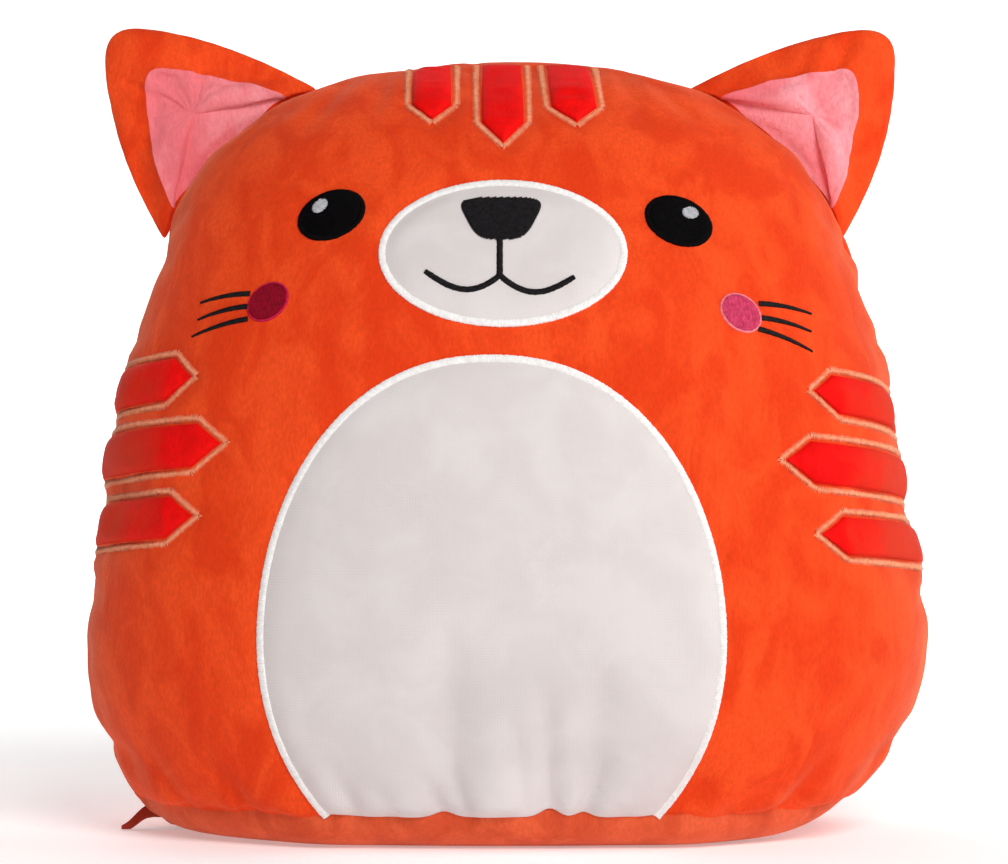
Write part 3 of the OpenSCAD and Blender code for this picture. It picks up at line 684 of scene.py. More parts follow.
def ellipse(centre, a, b, tilt=0.0, count=160):
    t = np.radians(np.arange(count) * 360 / count)
    x, z = a * np.cos(t), b * np.sin(t)
    c, s = math.cos(math.radians(tilt)), math.sin(math.radians(tilt))
    return np.stack([centre[0] + x * c - z * s, centre[1] + x * s + z * c], -1)


BORDER_W = 2.9 * MM
belly_low, belly_high = box_of("belly_border")
BELLY_X = (belly_high[0] + belly_low[0]) / 2
BELLY_HALF_W = (belly_high[0] - belly_low[0]) / 2 - 0.4 * MM
BELLY_TOP = belly_high[2] - 0.4 * MM
BELLY_FOOT = SEAM_Z + 0.4 * MM
BELLY_WIDE_Z = 0.262 * BODY_H
BELLY_CORNER = 46  # degrees below the widest point at which the egg is cut off
muzzle_low, muzzle_high = box_of("muzzle_border")
MUZZLE_C = ((muzzle_low[0] + muzzle_high[0]) / 2, (muzzle_low[2] + muzzle_high[2]) / 2)
MUZZLE_HALF = ((muzzle_high[0] - muzzle_low[0]) / 2, (muzzle_high[2] - muzzle_low[2]) / 2 - 0.4 * MM)


def belly_arc(inset, count=200):
    """The egg's curved edge, from its lower right corner over the top to its lower left one."""
    t = np.radians(np.linspace(-BELLY_CORNER, 180 + BELLY_CORNER, count))
    rise = BELLY_TOP - BELLY_WIDE_Z - inset
    fall = (BELLY_WIDE_Z - BELLY_FOOT) / math.sin(math.radians(BELLY_CORNER))
    height = np.where(np.sin(t) > 0, rise, fall)
    x = BELLY_X + (BELLY_HALF_W - inset) * spow(np.cos(t), 0.9)
    return np.stack([x, BELLY_WIDE_Z + height * np.sin(t)], -1)


def belly_outline(inset):
    arc = belly_arc(inset)
    foot = np.linspace(arc[-1], arc[0], 90)[1:-1]
    foot[:, 1] += seam_rise(foot[:, 0])
    return np.concatenate([arc, foot])


def muzzle_outline(inset):
    return ellipse(MUZZLE_C, MUZZLE_HALF[0] - inset, MUZZLE_HALF[1] - inset)


class Stripe:
    """A padded arrow. place() gives the map's coordinates at p along it and q to one side of it."""

    def __init__(self, skin, length, half_w, point, place):
        self.skin = skin
        self.length = length
        self.half_w = half_w
        self.point = point
        self.place = place

    def narrow(self, p):
        return np.clip((self.length - p) / self.point, 0.02, 1)

    def edge_path(self, gap):
        """Along one edge, round the tip and back, a gap outside the red cloth."""
        h = self.half_w + gap
        bar = self.length - self.point
        reach = self.length + gap * self.gap_scale() * 1.35
        corners = np.array([[0, -h], [bar, -h], [reach, 0], [bar, h], [0, h]])
        steps = [np.linspace(a, b, 24)[:-1] for a, b in zip(corners[:-1], corners[1:])]
        path = np.concatenate(steps + [corners[-1:]])
        return np.stack(self.place(path[:, 0], path[:, 1]), -1)

    def gap_scale(self):
        """How many units of p there are in a metre of surface near the tip."""
        a = self.skin.at(*self.place(np.array([self.length * 0.7]), np.array([0.0])))
        b = self.skin.at(*self.place(np.array([self.length * 0.8]), np.array([0.0])))
        return 0.1 * self.length / np.linalg.norm(a - b)


def forehead_stripe(face, x, lean, length, half_w, point):
    top = 0.9945 * BODY_H
    return Stripe(face, length * MM, half_w * MM, point * MM,
                  lambda p, q: (x * MM + q + lean * p, top - p))


def side_stripe(side_map, side, z, tip, half_w, slope):
    start = 1.5  # degrees from the side seam

    def place(p, q):
        angle = start + p
        return (angle if side > 0 else 180 - angle, z * MM + q + slope * MM * p)

    return Stripe(side_map, tip, half_w * MM, 5.2, place)


# Each forehead stripe: node, x, lean, length, half width and length of its point, in mm
FOREHEAD = [
    ("forehead_stripe_left", -26.5, 0.02, 23, 7.2, 5.6),
    ("forehead_stripe_centre", -0.5, 0.02, 32.5, 7.8, 8),
    ("forehead_stripe_right", 24.2, 0.12, 24, 8.4, 5.8),
]
# Each side stripe: node, side, height at the seam, degrees round the body, half width, rise per degree
SIDES = [
    ("side_stripe_left_upper", -1, 163.5, 41.2, 7.6, 0.17),
    ("side_stripe_left_middle", -1, 139.5, 50, 8.0, 0.14),
    ("side_stripe_left_lower", -1, 114, 46, 7.6, 0.14),
    ("side_stripe_right_upper", 1, 156, 42, 7.2, 0.22),
    ("side_stripe_right_middle", 1, 131.5, 50, 7.8, 0.18),
    ("side_stripe_right_lower", 1, 107.5, 44.5, 7.0, 0.14),
]
STITCH_GAP = 1.9 * MM  # from the red cloth to the middle of the stitches
STITCH_W = 2.7 * MM


def stripes_on(face, side):
    found = {}
    for name, *values in FOREHEAD:
        found[name] = forehead_stripe(face, *values)
    for name, *values in SIDES:
        found[name] = side_stripe(side, *values)
    return found


# ------------------------------------------------------------------ grooves and creases

# Soft creases on the front, each from (x, z) to (x, z) in mm, with its depth and width in mm
FRONT_CREASES = [
    ((-21, 12), (-29, 30), 3.2, 3.6),
    ((-13, 12), (-19, 34), 2.2, 3.6),
    ((9, 12), (4, 50), 2.6, 5.0),
    ((17, 12), (15, 64), 4.2, 4.6),
    ((29, 12), (37, 42), 2.8, 4.2),
    ((-40, 12), (-46, 26), 1.2, 3.2),
    ((-52, 12), (-62, 34), 1.4, 3.6),
    ((66, 12), (78, 36), 1.5, 4.0),
    ((-92, 13), (-108, 34), 2.0, 4.5),
    ((103, 13), (122, 38), 2.4, 4.6),
    ((-118, 15), (-136, 40), 1.8, 5.0),
    ((-12, 287), (-10, 272), 1.2, 3.0),
    ((12, 287), (10, 270), 1.2, 3.0),
    ((-44, 285), (-48, 266), 1.5, 4.0),
    ((45, 285), (52, 262), 1.6, 4.0),
    ((58, 281), (74, 262), 1.6, 4.6),
    ((-60, 281), (-76, 258), 1.4, 4.6),
]
# Creases round the sides, from (degrees, z mm) to (degrees, z mm); above 90 is the left side
SIDE_CREASES = [
    ((1, 221), (26, 214), 2.6, 6.0),
    ((179, 219), (153, 212), 2.6, 6.0),
    ((1, 185), (20, 183), 1.5, 4.0),
    ((179, 186), (158, 183), 1.5, 4.0),
    ((1, 92), (24, 84), 1.4, 5.0),
    ((179, 96), (155, 90), 1.4, 5.0),
    ((1, 40), (30, 26), 2.0, 5.0),
    ((179, 36), (150, 24), 2.0, 5.0),
]
# Uneven stuffing: a place on the body, how far round it is felt and how it is pushed, in mm
LUMPS = [
    ((134, 0, 221), 15, (3.6, 0, 0.6)),
    ((145, 0, 182), 20, (2.2, 0, 0)),
    ((-136, 0, 199), 20, (7.5, 0, 0)),
    ((-151, 0, 145), 8, (2.0, 0, 0)),
    ((-155, 0, 107), 11, (2.6, 0, 0)),
    ((160, 0, 82), 46, (3.8, 0, 0)),
    ((136, 0, 13), 18, (-8.0, 0, 2.0)),
    ((121, -18, 0), 22, (-3.0, 0, 5.0)),
    ((-137, 0, 17), 13, (-1.2, 0, 0)),
    ((-137, 0, 6), 9, (-4.0, 0, -0.5)),
    ((-151, 0, 40), 18, (-2.8, 0, 0)),
    ((66, -60, 0), 18, (2.0, -4.0, 0)),
    ((-66, -60, 0), 18, (-2.0, -4.0, 0)),
    ((0, 0, 292), 60, (0, 0, -1.8)),
    ((60, -80, 60), 40, (0.8, -1.6, 0)),
    ((-70, -78, 95), 36, (-0.8, -1.4, 0)),
    ((40, -70, 205), 30, (0, -1.4, 0)),
    ((-30, 88, 120), 45, (0, 2.0, 0)),
    ((50, 86, 70), 40, (0, 1.6, 0)),
]


def push_lumps(points):
    for centre, reach, push in LUMPS:
        away = np.linalg.norm(points - np.array(centre) * MM, axis=1) / (reach * MM)
        points += np.exp(-away ** 2)[:, None] * np.array(push) * MM


def crease_line(skin, a, b, scale, count=30):
    t = np.linspace(0, 1, count)
    u = (a[0] + (b[0] - a[0]) * t) * scale[0]
    v = (a[1] + (b[1] - a[1]) * t) * scale[1]
    return skin.at(u, v), np.sin(np.pi * (0.5 + 0.5 * t)) ** 0.8


def sew_details(points, normals, face, side):
    """Presses the stitched outlines, the edges of the eyes and the creases into the stuffed body."""
    for outline, depth in ((belly_arc(BORDER_W / 2), 1.1), (muzzle_outline(BORDER_W / 2), 1.0)):
        press(points, normals, face.at(outline[:, 0], outline[:, 1]), depth * MM, 3.4 * MM)
    for stripe in stripes_on(face, side).values():
        path = stripe.edge_path(STITCH_GAP)
        press(points, normals, stripe.skin.at(path[:, 0], path[:, 1]), 1.3 * MM, 2.8 * MM)
    for skin, creases, scale in ((face, FRONT_CREASES, (MM, MM)), (side, SIDE_CREASES, (1, MM))):
        for a, b, depth, width in creases:
            line, fade = crease_line(skin, a, b, scale)
            press(points, normals, line, depth * MM * fade, width * MM)
    for _, centre, tilt in EYES:
        outline = ellipse(centre, EYE_A, EYE_B, tilt)
        press(points, normals, face.at(outline[:, 0], outline[:, 1]), 0.7 * MM, 2.6 * MM)


def seam_lines():
    """The side and top seam, and the ring of the base seam, as points."""
    t = np.linspace(SEAM_ROW, LAST, 400)
    z, half_w, _ = row_at(t)
    right = np.stack([half_w, 0 * z, z], -1)
    left = right * [-1, 1, 1]
    angles = np.linspace(0, 360, 721)
    _, ring_w, ring_d = row_at(SEAM_ROW)
    x, y = section(angles, ring_w, ring_d)
    ring = np.stack([x, y, SEAM_Z + seam_rise(x) * (y < 0)], -1)
    return np.concatenate([right, left[::-1]]), ring


def pucker_seams(points, normals):
    """Grooves along the seams, with small gathers at uneven distances."""
    upright, ring = seam_lines()
    press(points, normals, upright, 1.5 * MM, 2.6 * MM)
    press(points, normals, ring, 1.7 * MM, 2.6 * MM)
    rng = np.random.default_rng(11)
    for line, up, count in ((ring, np.array([0, 0, 1.0]), 46), (upright, None, 44)):
        picks = (np.linspace(0.01, 0.99, count) + rng.uniform(-0.008, 0.008, count)) * (len(line) - 1)
        for k, at in enumerate(picks.astype(int)):
            way = up if up is not None else np.array([0, (-1.0, 1.0)[k % 2], 0])
            reach = rng.uniform(7, 17) * MM
            t = np.linspace(0, 1, 8)[:, None]
            gather = line[at] + way * reach * t
            depth = rng.uniform(0.5, 1.1) * MM * (1 - 0.9 * t[:, 0])
            press(points, normals, gather, depth, rng.uniform(2.2, 3.4) * MM)


EYE_A, EYE_B = 12.8 * MM, 8.9 * MM
# Each eye: name, middle and tilt, with the outer end low
EYES = [("left", (-62 * MM, 229 * MM), 22), ("right", (63.5 * MM, 226.7 * MM), -22)]
# Each highlight: name, middle, half length, half width and tilt
HIGHLIGHTS = [
    ("left", (-66 * MM, 231.8 * MM), 3.1 * MM, 2.0 * MM, 40),
    ("right", (67.5 * MM, 229.3 * MM), 2.9 * MM, 2.1 * MM, -10),
]
# Each cheek spot: name, middle, tilt, threads of its middle and its edge, and slot. Both cheeks are one
# thread: the left's darker copies are painted shade, the right's lighter copies painted sheen.
CHEEKS = [
    ("left", (-84.5 * MM, 197.3 * MM), 40, CHEEK_THREAD_SHADE, CHEEK_EDGE_SHADE, "berry_thread"),
    ("right", (85.5 * MM, 193.3 * MM), -40, CHEEK_THREAD_SHEEN, CHEEK_EDGE_SHEEN, "pink_thread"),
]


def make_body():
    points, faces, kinds, held = body_grid()
    scratch = work_object(points, faces, kinds)
    inflate(scratch, held, pressure=3.0, growth=0.02, cap=6 * MM)
    points, normals, faces, kinds = subdivided(scratch)
    push_lumps(points)
    face, side = skin_maps(points, faces)
    sew_details(points, normals, face, side)
    pucker_seams(points, normals)
    points[:, 2] = np.maximum(points[:, 2], 0.0)
    names = [
        ("plush_front", 0, ORANGE, "front_panel", 0.8),
        ("plush_back", 1, ORANGE, "back_panel", 0.8),
        ("plush_base_front", 2, BASE_ORANGE, "base_front", 0.6),
        ("plush_base_back", 3, BASE_ORANGE, "base_back", 0.6),
    ]
    for name, kind, material, node, fill in names:
        some, some_faces = pick_faces(points, faces, kinds, (kind,))
        piece = make_piece(name, some, some_faces, material, "body", (node,), recalc=False)
    face, side = skin_maps(points, faces)
    make_inside(points, faces, kinds)
    return face, side


def make_inside(points, faces, kinds):
    """The removable cushion inside: a plain woven cover and its fibre filling."""
    shell, faces = pick_faces(points, faces, kinds, (0, 1))
    centre = np.array([0, 0, SEAM_Z])
    cover = centre + (shell - centre) * [0.965, 0.94, 0.985] + [0, 0, 1.5 * MM]
    piece = make_piece("inner_cover", cover, faces, COVER_CLOTH, "body",
                       ("inner_cover_front", "inner_cover_back"), recalc=False)
    wobble = 1 + 0.012 * np.sin(shell[:, :1] * 190) * np.sin(shell[:, 2:] * 230)
    fibre = centre + (shell - centre) * [0.925, 0.88, 0.965] * wobble + [0, 0, 3 * MM]
    piece = make_piece("fibre_cushion_filling", fibre, faces, FIBRE, "body",
                       ("fibre_filling",), recalc=False)


# ------------------------------------------------------------------ sewn and embroidered pieces


def lay(skin, path, step, closed=False):
    """Even points along a path on the skin, with the normals and sideways directions there."""
    if closed:
        path = np.concatenate([path, path[:1]])
    on = skin.at(path[:, 0], path[:, 1])
    up = skin.normal(path[:, 0], path[:, 1])
    length = np.concatenate([[0], np.cumsum(np.linalg.norm(np.diff(on, axis=0), axis=1))])
    count = max(4, int(round(length[-1] / step)))
    s = np.linspace(0, length[-1], count + 1)
    s = s[:-1] if closed else s
    points = np.stack([np.interp(s, length, on[:, k]) for k in range(3)], -1)
    normals = unit(np.stack([np.interp(s, length, up[:, k]) for k in range(3)], -1))
    if closed:
        ahead = np.roll(points, -1, 0) - np.roll(points, 1, 0)
    else:
        ahead = np.gradient(points, axis=0)
    return points, normals, unit(np.cross(unit(ahead), normals))


def satin(heap, skin, path, width, closed=False, pitch=0.55 * MM, height=0.65 * MM, lift=0.0,
          taper=None, seed=1):
    """A band of tight stitches across a path, each a small ridge with slightly uneven ends."""
    per = 4  # samples to a stitch
    points, normals, sideways = lay(skin, path, pitch / per, closed)
    n = len(points)
    stitch = np.arange(n) // per
    ridge = np.sin(np.pi * (np.arange(n) % per) / per)
    rng = np.random.default_rng(seed)
    uneven = 1 + 0.07 * rng.uniform(-1, 1, (stitch[-1] + 1, 2))[stitch]
    tall = 1 + 0.10 * rng.uniform(-1, 1, stitch[-1] + 1)[stitch]
    half = np.full(n, width / 2)
    if taper is not None:
        half = half * taper(np.linspace(0, 1, n))
    across = np.array([-1, -0.93, -0.72, -0.4, 0, 0.4, 0.72, 0.93, 1, 0.8, -0.8])
    dome = np.sqrt(np.maximum(1 - across ** 2, 0)) ** 0.8
    rise = (height * tall * (0.62 + 0.38 * ridge))[:, None] * dome[None, :] + lift
    rise[:, [0, 8]] = lift - 0.15 * MM
    rise[:, [9, 10]] = lift - 0.5 * MM
    side_scale = np.where(across < 0, uneven[:, :1], uneven[:, 1:])
    off = half[:, None] * across[None, :] * side_scale
    grid = points[:, None] + sideways[:, None] * off[..., None] + normals[:, None] * rise[..., None]
    heap.grid(grid, wrap_rows=closed, wrap_cols=True, caps=not closed)


def zigzag(heap, skin, path, width, pitch=0.85 * MM, radius=0.24 * MM, seed=3):
    """One thread that runs from side to side across a path."""
    points, normals, sideways = lay(skin, path, pitch / 2)
    n = len(points)
    rng = np.random.default_rng(seed)
    swing = (width / 2) * (1 + 0.14 * rng.uniform(-1, 1, n)) * np.where(np.arange(n) % 2, 1, -1)
    ends = points + sideways * swing[:, None] + normals * 0.05 * MM
    middles = (ends[1:] + ends[:-1]) / 2 + normals[1:] * 0.42 * MM
    route = np.empty((2 * n - 1, 3))
    route[0::2] = ends
    route[1::2] = middles
    up = np.repeat(normals, 2, axis=0)[: 2 * n - 1]
    heap.grid(tube_rings(route, up, radius, 5), wrap_cols=True, caps=True)


def tube_rings(route, up, radius, sides):
    along = unit(np.gradient(route, axis=0))
    across = unit(np.cross(along, up))
    over = np.cross(across, along)
    t = np.radians(np.arange(sides) * 360 / sides)
    ring = np.cos(t)[None, :, None] * over[:, None] + np.sin(t)[None, :, None] * across[:, None]
    return route[:, None] + ring * radius


def fill_rows(heap, skin, outline, angle, lift, pitch=0.5 * MM, height=0.32 * MM, overhang=0.1 * MM):
    """Parallel rows of long stitches that fill a convex outline, with staggered needle holes."""
    d = np.array([math.cos(math.radians(angle)), math.sin(math.radians(angle))])
    e = np.array([-d[1], d[0]])
    along, across = outline @ d, outline @ e
    rows = np.arange(across.min() + pitch / 2, across.max(), pitch)
    profile_v = np.array([-0.56, -0.34, 0.0, 0.34, 0.56]) * pitch
    profile_h = np.array([0.0, 0.8, 1.0, 0.8, 0.0])
    for k, c in enumerate(rows):
        a, b = across, np.roll(across, -1)
        cut = np.flatnonzero((a - c) * (b - c) < 0)
        if len(cut) < 2:
            continue
        t = (c - a[cut]) / (b[cut] - a[cut])
        s = along[cut] + (np.roll(along, -1)[cut] - along[cut]) * t
        low, high = s.min() - overhang, s.max() + overhang
        if high - low < 0.7 * MM:
            continue
        s = np.linspace(low, high, max(4, int((high - low) / (0.55 * MM))))
        length = 4.2 * MM
        phase = ((s + (k * 0.38 % 1) * length) % length) - length / 2
        h = height * (1 - 0.6 * np.exp(-(phase / (0.45 * MM)) ** 2))
        h[0] = h[-1] = -0.25 * MM
        flat = s[:, None, None] * d + (c + profile_v)[None, :, None] * e
        rise = lift + h[:, None] * profile_h[None, :]
        heap.grid(skin.at(flat[..., 0], flat[..., 1], rise), wrap_cols=True, caps=True)


def dome_pad(heap, skin, outline, lift, puff, rings, sink=0.35 * MM, power=6):
    """A cloth patch over an outline: rounded down at its edge and slightly crowned."""
    centre = outline.mean(0)
    s = np.concatenate([[1.0, 0.995, 0.985], np.linspace(0.965, 0.03, rings)])
    rise = lift + puff * (1 - s ** power)
    rise[0] = -sink
    rise[1] = lift * 0.6
    flat = centre + (outline - centre)[None] * s[:, None, None]
    high = np.broadcast_to(rise[:, None], flat.shape[:2])
    tops = skin.at(flat[..., 0], flat[..., 1], high)
    unders = skin.at(flat[..., 0], flat[..., 1], np.full(flat.shape[:2], -sink - 0.1 * MM))
    heap.pad(tops, unders)


def make_patches(face):
    for name, outline, border in (
        ("belly", belly_outline(BORDER_W * 0.55), belly_arc(BORDER_W / 2)),
        ("muzzle", muzzle_outline(BORDER_W * 0.55), muzzle_outline(BORDER_W / 2)),
    ):
        heap = Heap()
        dome_pad(heap, face, outline, 0.55 * MM, 0.75 * MM, rings=46)
        piece = heap_piece(heap, name + "_cloth", WHITE_CLOTH, (name + "_patch",))
        heap = Heap()
        closed = name == "muzzle"
        satin(heap, face, border, BORDER_W, closed, lift=0.3 * MM, height=0.95 * MM)
        heap_piece(heap, name + "_satin_border", WHITE_THREAD, (name + "_border",))


def make_eyes(face):
    for name, centre, tilt in EYES:
        heap = Heap()
        fill_rows(heap, face, ellipse(centre, EYE_A - 1.6 * MM, EYE_B - 1.6 * MM, tilt), tilt + 8, 0.75 * MM)
        pad_edge = ellipse(centre, EYE_A - 1.2 * MM, EYE_B - 1.2 * MM, tilt)
        dome_pad(heap, face, pad_edge, 0.6 * MM, 0.15 * MM, 8)
        satin(heap, face, ellipse(centre, EYE_A - 1.1 * MM, EYE_B - 1.1 * MM, tilt), 2.3 * MM, True,
              lift=0.25 * MM, height=0.85 * MM, seed=5)
        heap_piece(heap, "eye_stitching_" + name, EYE_THREAD, ("eye_" + name,))
    for name, centre, a, b, tilt in HIGHLIGHTS:
        heap = Heap()
        fill_rows(heap, face, ellipse(centre, a, b, tilt, 48), 20, 1.2 * MM, 0.45 * MM)
        heap_piece(heap, "eye_glint_" + name, GREY_THREAD, ("eye_highlight_" + name,))


def make_cheeks(face):
    for name, centre, tilt, fill, edge, slot in CHEEKS:
        heap = Heap()
        fill_rows(heap, face, ellipse(centre, 7.6 * MM, 5.5 * MM, tilt, 64), 85, 0.65 * MM)
        dome_pad(heap, face, ellipse(centre, 7.2 * MM, 5.2 * MM, tilt, 64), 0.5 * MM, 0.1 * MM, 6)
        heap_piece(heap, "cheek_fill_" + name, fill, ("cheek_" + name,))
        rim = Heap()
        satin(rim, face, ellipse(centre, 7.9 * MM, 5.8 * MM, tilt, 96), 1.1 * MM, True,
              lift=0.1 * MM, height=0.6 * MM, seed=9)
        heap_piece(rim, "cheek_rim_" + name, edge)


# The nose and the mouth, in mm
NOSE_X, NOSE_Z = -0.6, 226.6
NOSE_HALF_W, NOSE_FLARE, NOSE_HALF_H = 12.4, 3.9, 7.7  # the flare widens the top and narrows the foot
MOUTH_X = -1.1
STEM_TOP, STEM_FOOT = 219.2, 205.3
MOUTH_Z, MOUTH_REACH, MOUTH_SAG = 205.7, 26.2, 5.6


def nose_outline():
    """A trapezoid with rounded corners, wide at the top."""
    t = np.radians(np.arange(180) * 2)
    wide = spow(np.cos(t), 0.5)
    high = spow(np.sin(t), 0.5)
    half_w = NOSE_HALF_W + NOSE_FLARE * high
    return np.stack([NOSE_X + half_w * wide, NOSE_Z + NOSE_HALF_H * high], -1) * MM


def make_nose_and_mouth(face):
    heap = Heap()
    outline = nose_outline()
    centre = outline.mean(0)
    dome_pad(heap, face, centre + (outline - centre) * 0.96, 1.5 * MM, 0.2 * MM, 10)
    fill_rows(heap, face, outline, 12, 1.7 * MM, 0.5 * MM, 0.26 * MM)
    heap_piece(heap, "nose_stitching", BLACK_THREAD, ("nose",))
    heap = Heap()
    stem = np.stack([np.full(12, MOUTH_X), np.linspace(STEM_TOP, STEM_FOOT, 12)], -1) * MM
    satin(heap, face, stem, 2.4 * MM, lift=1.2 * MM, height=0.8 * MM)
    for side in (-1, 1):
        u = np.linspace(0, 1, 40)
        x = MOUTH_X + side * (0.4 + MOUTH_REACH * u)
        end_rise = 1.8 if side < 0 else -0.3  # the left end is higher
        z = MOUTH_Z - MOUTH_SAG * np.sin(np.pi * u ** 0.9) + end_rise * u
        satin(heap, face, np.stack([x, z], -1) * MM, 2.3 * MM, lift=1.2 * MM, height=0.8 * MM,
              taper=lambda w: 0.78 + 0.22 * np.sqrt(np.maximum(1 - w ** 6, 0)), seed=20 + side)
    heap_piece(heap, "mouth_stitching", BLACK_THREAD, ("mouth",))


# Whiskers: root and tip, as (x, z) in mm; they bow upwards in between
WHISKERS = {
    "left": [
        ((-91.2, 200.4), (-109.8, 197.4)),
        ((-92.2, 195.8), (-110.6, 191.2)),
        ((-91.8, 191.2), (-112.7, 185.1)),
    ],
    "right": [
        ((92.2, 196.8), (112, 193.4)),
        ((93, 191.6), (111.7, 186.9)),
        ((91.8, 187.6), (112, 179.6)),
    ],
}


def make_whiskers(face):
    for name, lines in WHISKERS.items():
        heap = Heap()
        for k, (root, tip) in enumerate(lines):
            bow = (root[0] * 0.5 + tip[0] * 0.5, root[1] * 0.5 + tip[1] * 0.5 + 1.6)
            path = bezier(root, bow, tip, 24) * MM
            satin(heap, face, path, 2.0 * MM, lift=0.15 * MM, height=0.6 * MM, pitch=0.6 * MM,
                  taper=lambda w: 1.0 - 0.62 * w ** 1.5, seed=30 + k)
        heap_piece(heap, "whisker_stitching_" + name, BLACK_THREAD, ("whiskers_" + name,))


def make_stripe(heap, stripe, seed):
    """A crowned red pad from the seam to the arrow's tip, tucked down along its edges."""
    p = np.concatenate([
        np.linspace(0, stripe.length - stripe.point, 34),
        np.linspace(stripe.length - stripe.point, stripe.length, 15)[1:],
    ])
    across = np.concatenate([np.linspace(-1, 1, 19), [0.7, -0.7]])
    q = stripe.half_w * stripe.narrow(p)[:, None] * across[None, :]
    grown = np.clip(stripe.narrow(p), 0.25, 1)
    crown = np.maximum(1 - np.abs(across) ** 3.2, 0) ** 0.55
    lumps = even_noise(len(p), seed, 5)[:, None] * np.cos(across * 2.2)[None, :]
    rise = (0.35 + 2.0 * crown[None, :] * grown[:, None] ** 0.6 + 0.22 * lumps) * MM
    held = smoothstep(0.1 * stripe.length, 0.55 * stripe.length, p)
    rise *= (0.2 + 0.8 * held)[:, None]  # flat where the seam holds it down
    rise[:, [0, 18]] = -0.3 * MM
    rise[:, [19, 20]] = -0.8 * MM
    u, v = stripe.place(np.broadcast_to(p[:, None], q.shape), q)
    heap.grid(stripe.skin.at(u, v, rise), wrap_cols=True, caps=True)


def make_stripes(face, side):
    stripes = stripes_on(face, side)
    for k, (name, stripe) in enumerate(stripes.items()):
        heap = Heap()
        make_stripe(heap, stripe, 40 + k)
        piece = heap_piece(heap, name.replace("stripe", "pad"), RED, (name,))
    groups = {
        "forehead_stitching": [n for n in stripes if n.startswith("forehead")],
        "side_stitching_left": [n for n in stripes if n.startswith("side_stripe_left")],
        "side_stitching_right": [n for n in stripes if n.startswith("side_stripe_right")],
    }
    for node, names in groups.items():
        heap = Heap()
        for k, name in enumerate(names):
            stripe = stripes[name]
            zigzag(heap, stripe.skin, stripe.edge_path(STITCH_GAP), STITCH_W, seed=60 + k)
        heap_piece(heap, node.replace("stitching", "zigzag"), SALMON_THREAD, (node,))


# ------------------------------------------------------------------ ears

ear_low, ear_high = box_of("ear_front_right")
EAR_TIP_Z = ear_high[2] - 0.2 * MM
EAR_C = np.array([117, 271]) * MM
EAR_THICK = 25 * MM
EAR_SIDES = 26  # points along each long side of an ear's outline
FOOT_IN = 4.0 * MM  # how far the ear's foot goes into the body's seam
RIGHT_SLIM = 2.0 * MM  # the right ear is a little slimmer
RELAXED_RING = 15  # the rings inside this one are laid evenly


def ear_outline(slim):
    """From the top foot down the shoulder, up the outer side, over the tip and back.

    slim is how far the tip is pulled in.
    """
    into = np.array([-1, -1]) / math.sqrt(2) * FOOT_IN
    top_foot = np.array([73, 283.5]) * MM + into
    low_foot = np.array([131.5, 226]) * MM + into
    tip = np.array([151.3 * MM - slim, EAR_TIP_Z - slim / 3])
    side_turn = tip - np.array([0, 13]) * MM
    top_turn = tip - np.array([12.8, 0]) * MM
    parts = [
        bezier(top_foot, np.array([111.5, 265.5]) * MM + into, low_foot, EAR_SIDES + 1),
        bezier(low_foot, np.array([149.5, 257]) * MM, side_turn, EAR_SIDES + 1),
        bezier(side_turn, tip + np.array([0.8, 0.8]) * MM, top_turn, 11),
        bezier(top_turn, np.array([107 * MM, tip[1] - 2.5 * MM]), top_foot, EAR_SIDES + 1),
    ]
    return np.concatenate([p[:-1] for p in parts])


def pink_reach():
    """How far out from the ear's middle the pink cloth goes, as a part of the outline."""
    t = np.arange(EAR_SIDES) / EAR_SIDES
    foot = 0.93 - 0.19 * (2 * t - 1) ** 4
    outer = 0.74 - 0.19 * np.sin(np.pi / 2 * t)
    tip = np.full(10, 0.52)
    top = 0.51 + 0.23 * t ** 2
    reach = np.concatenate([foot, outer, tip, top])
    for _ in range(3):
        reach = (reach + np.roll(reach, 1) + np.roll(reach, -1)) / 3
    return reach


def relax_middle(obj, sheets, sizes, first):
    """Lays the small inner rings of each sheet evenly between the ring called first and its middle."""
    for rings in sheets:
        edge = np.array([obj.data.vertices[int(v)].co for v in rings[first]])
        centre = edge.mean(0)
        for r in range(first + 1, len(rings)):
            inner = centre + (edge - centre) * (sizes[r] / sizes[first])[:, None]
            for v, co in zip(rings[r], inner):
                obj.data.vertices[int(v)].co = co


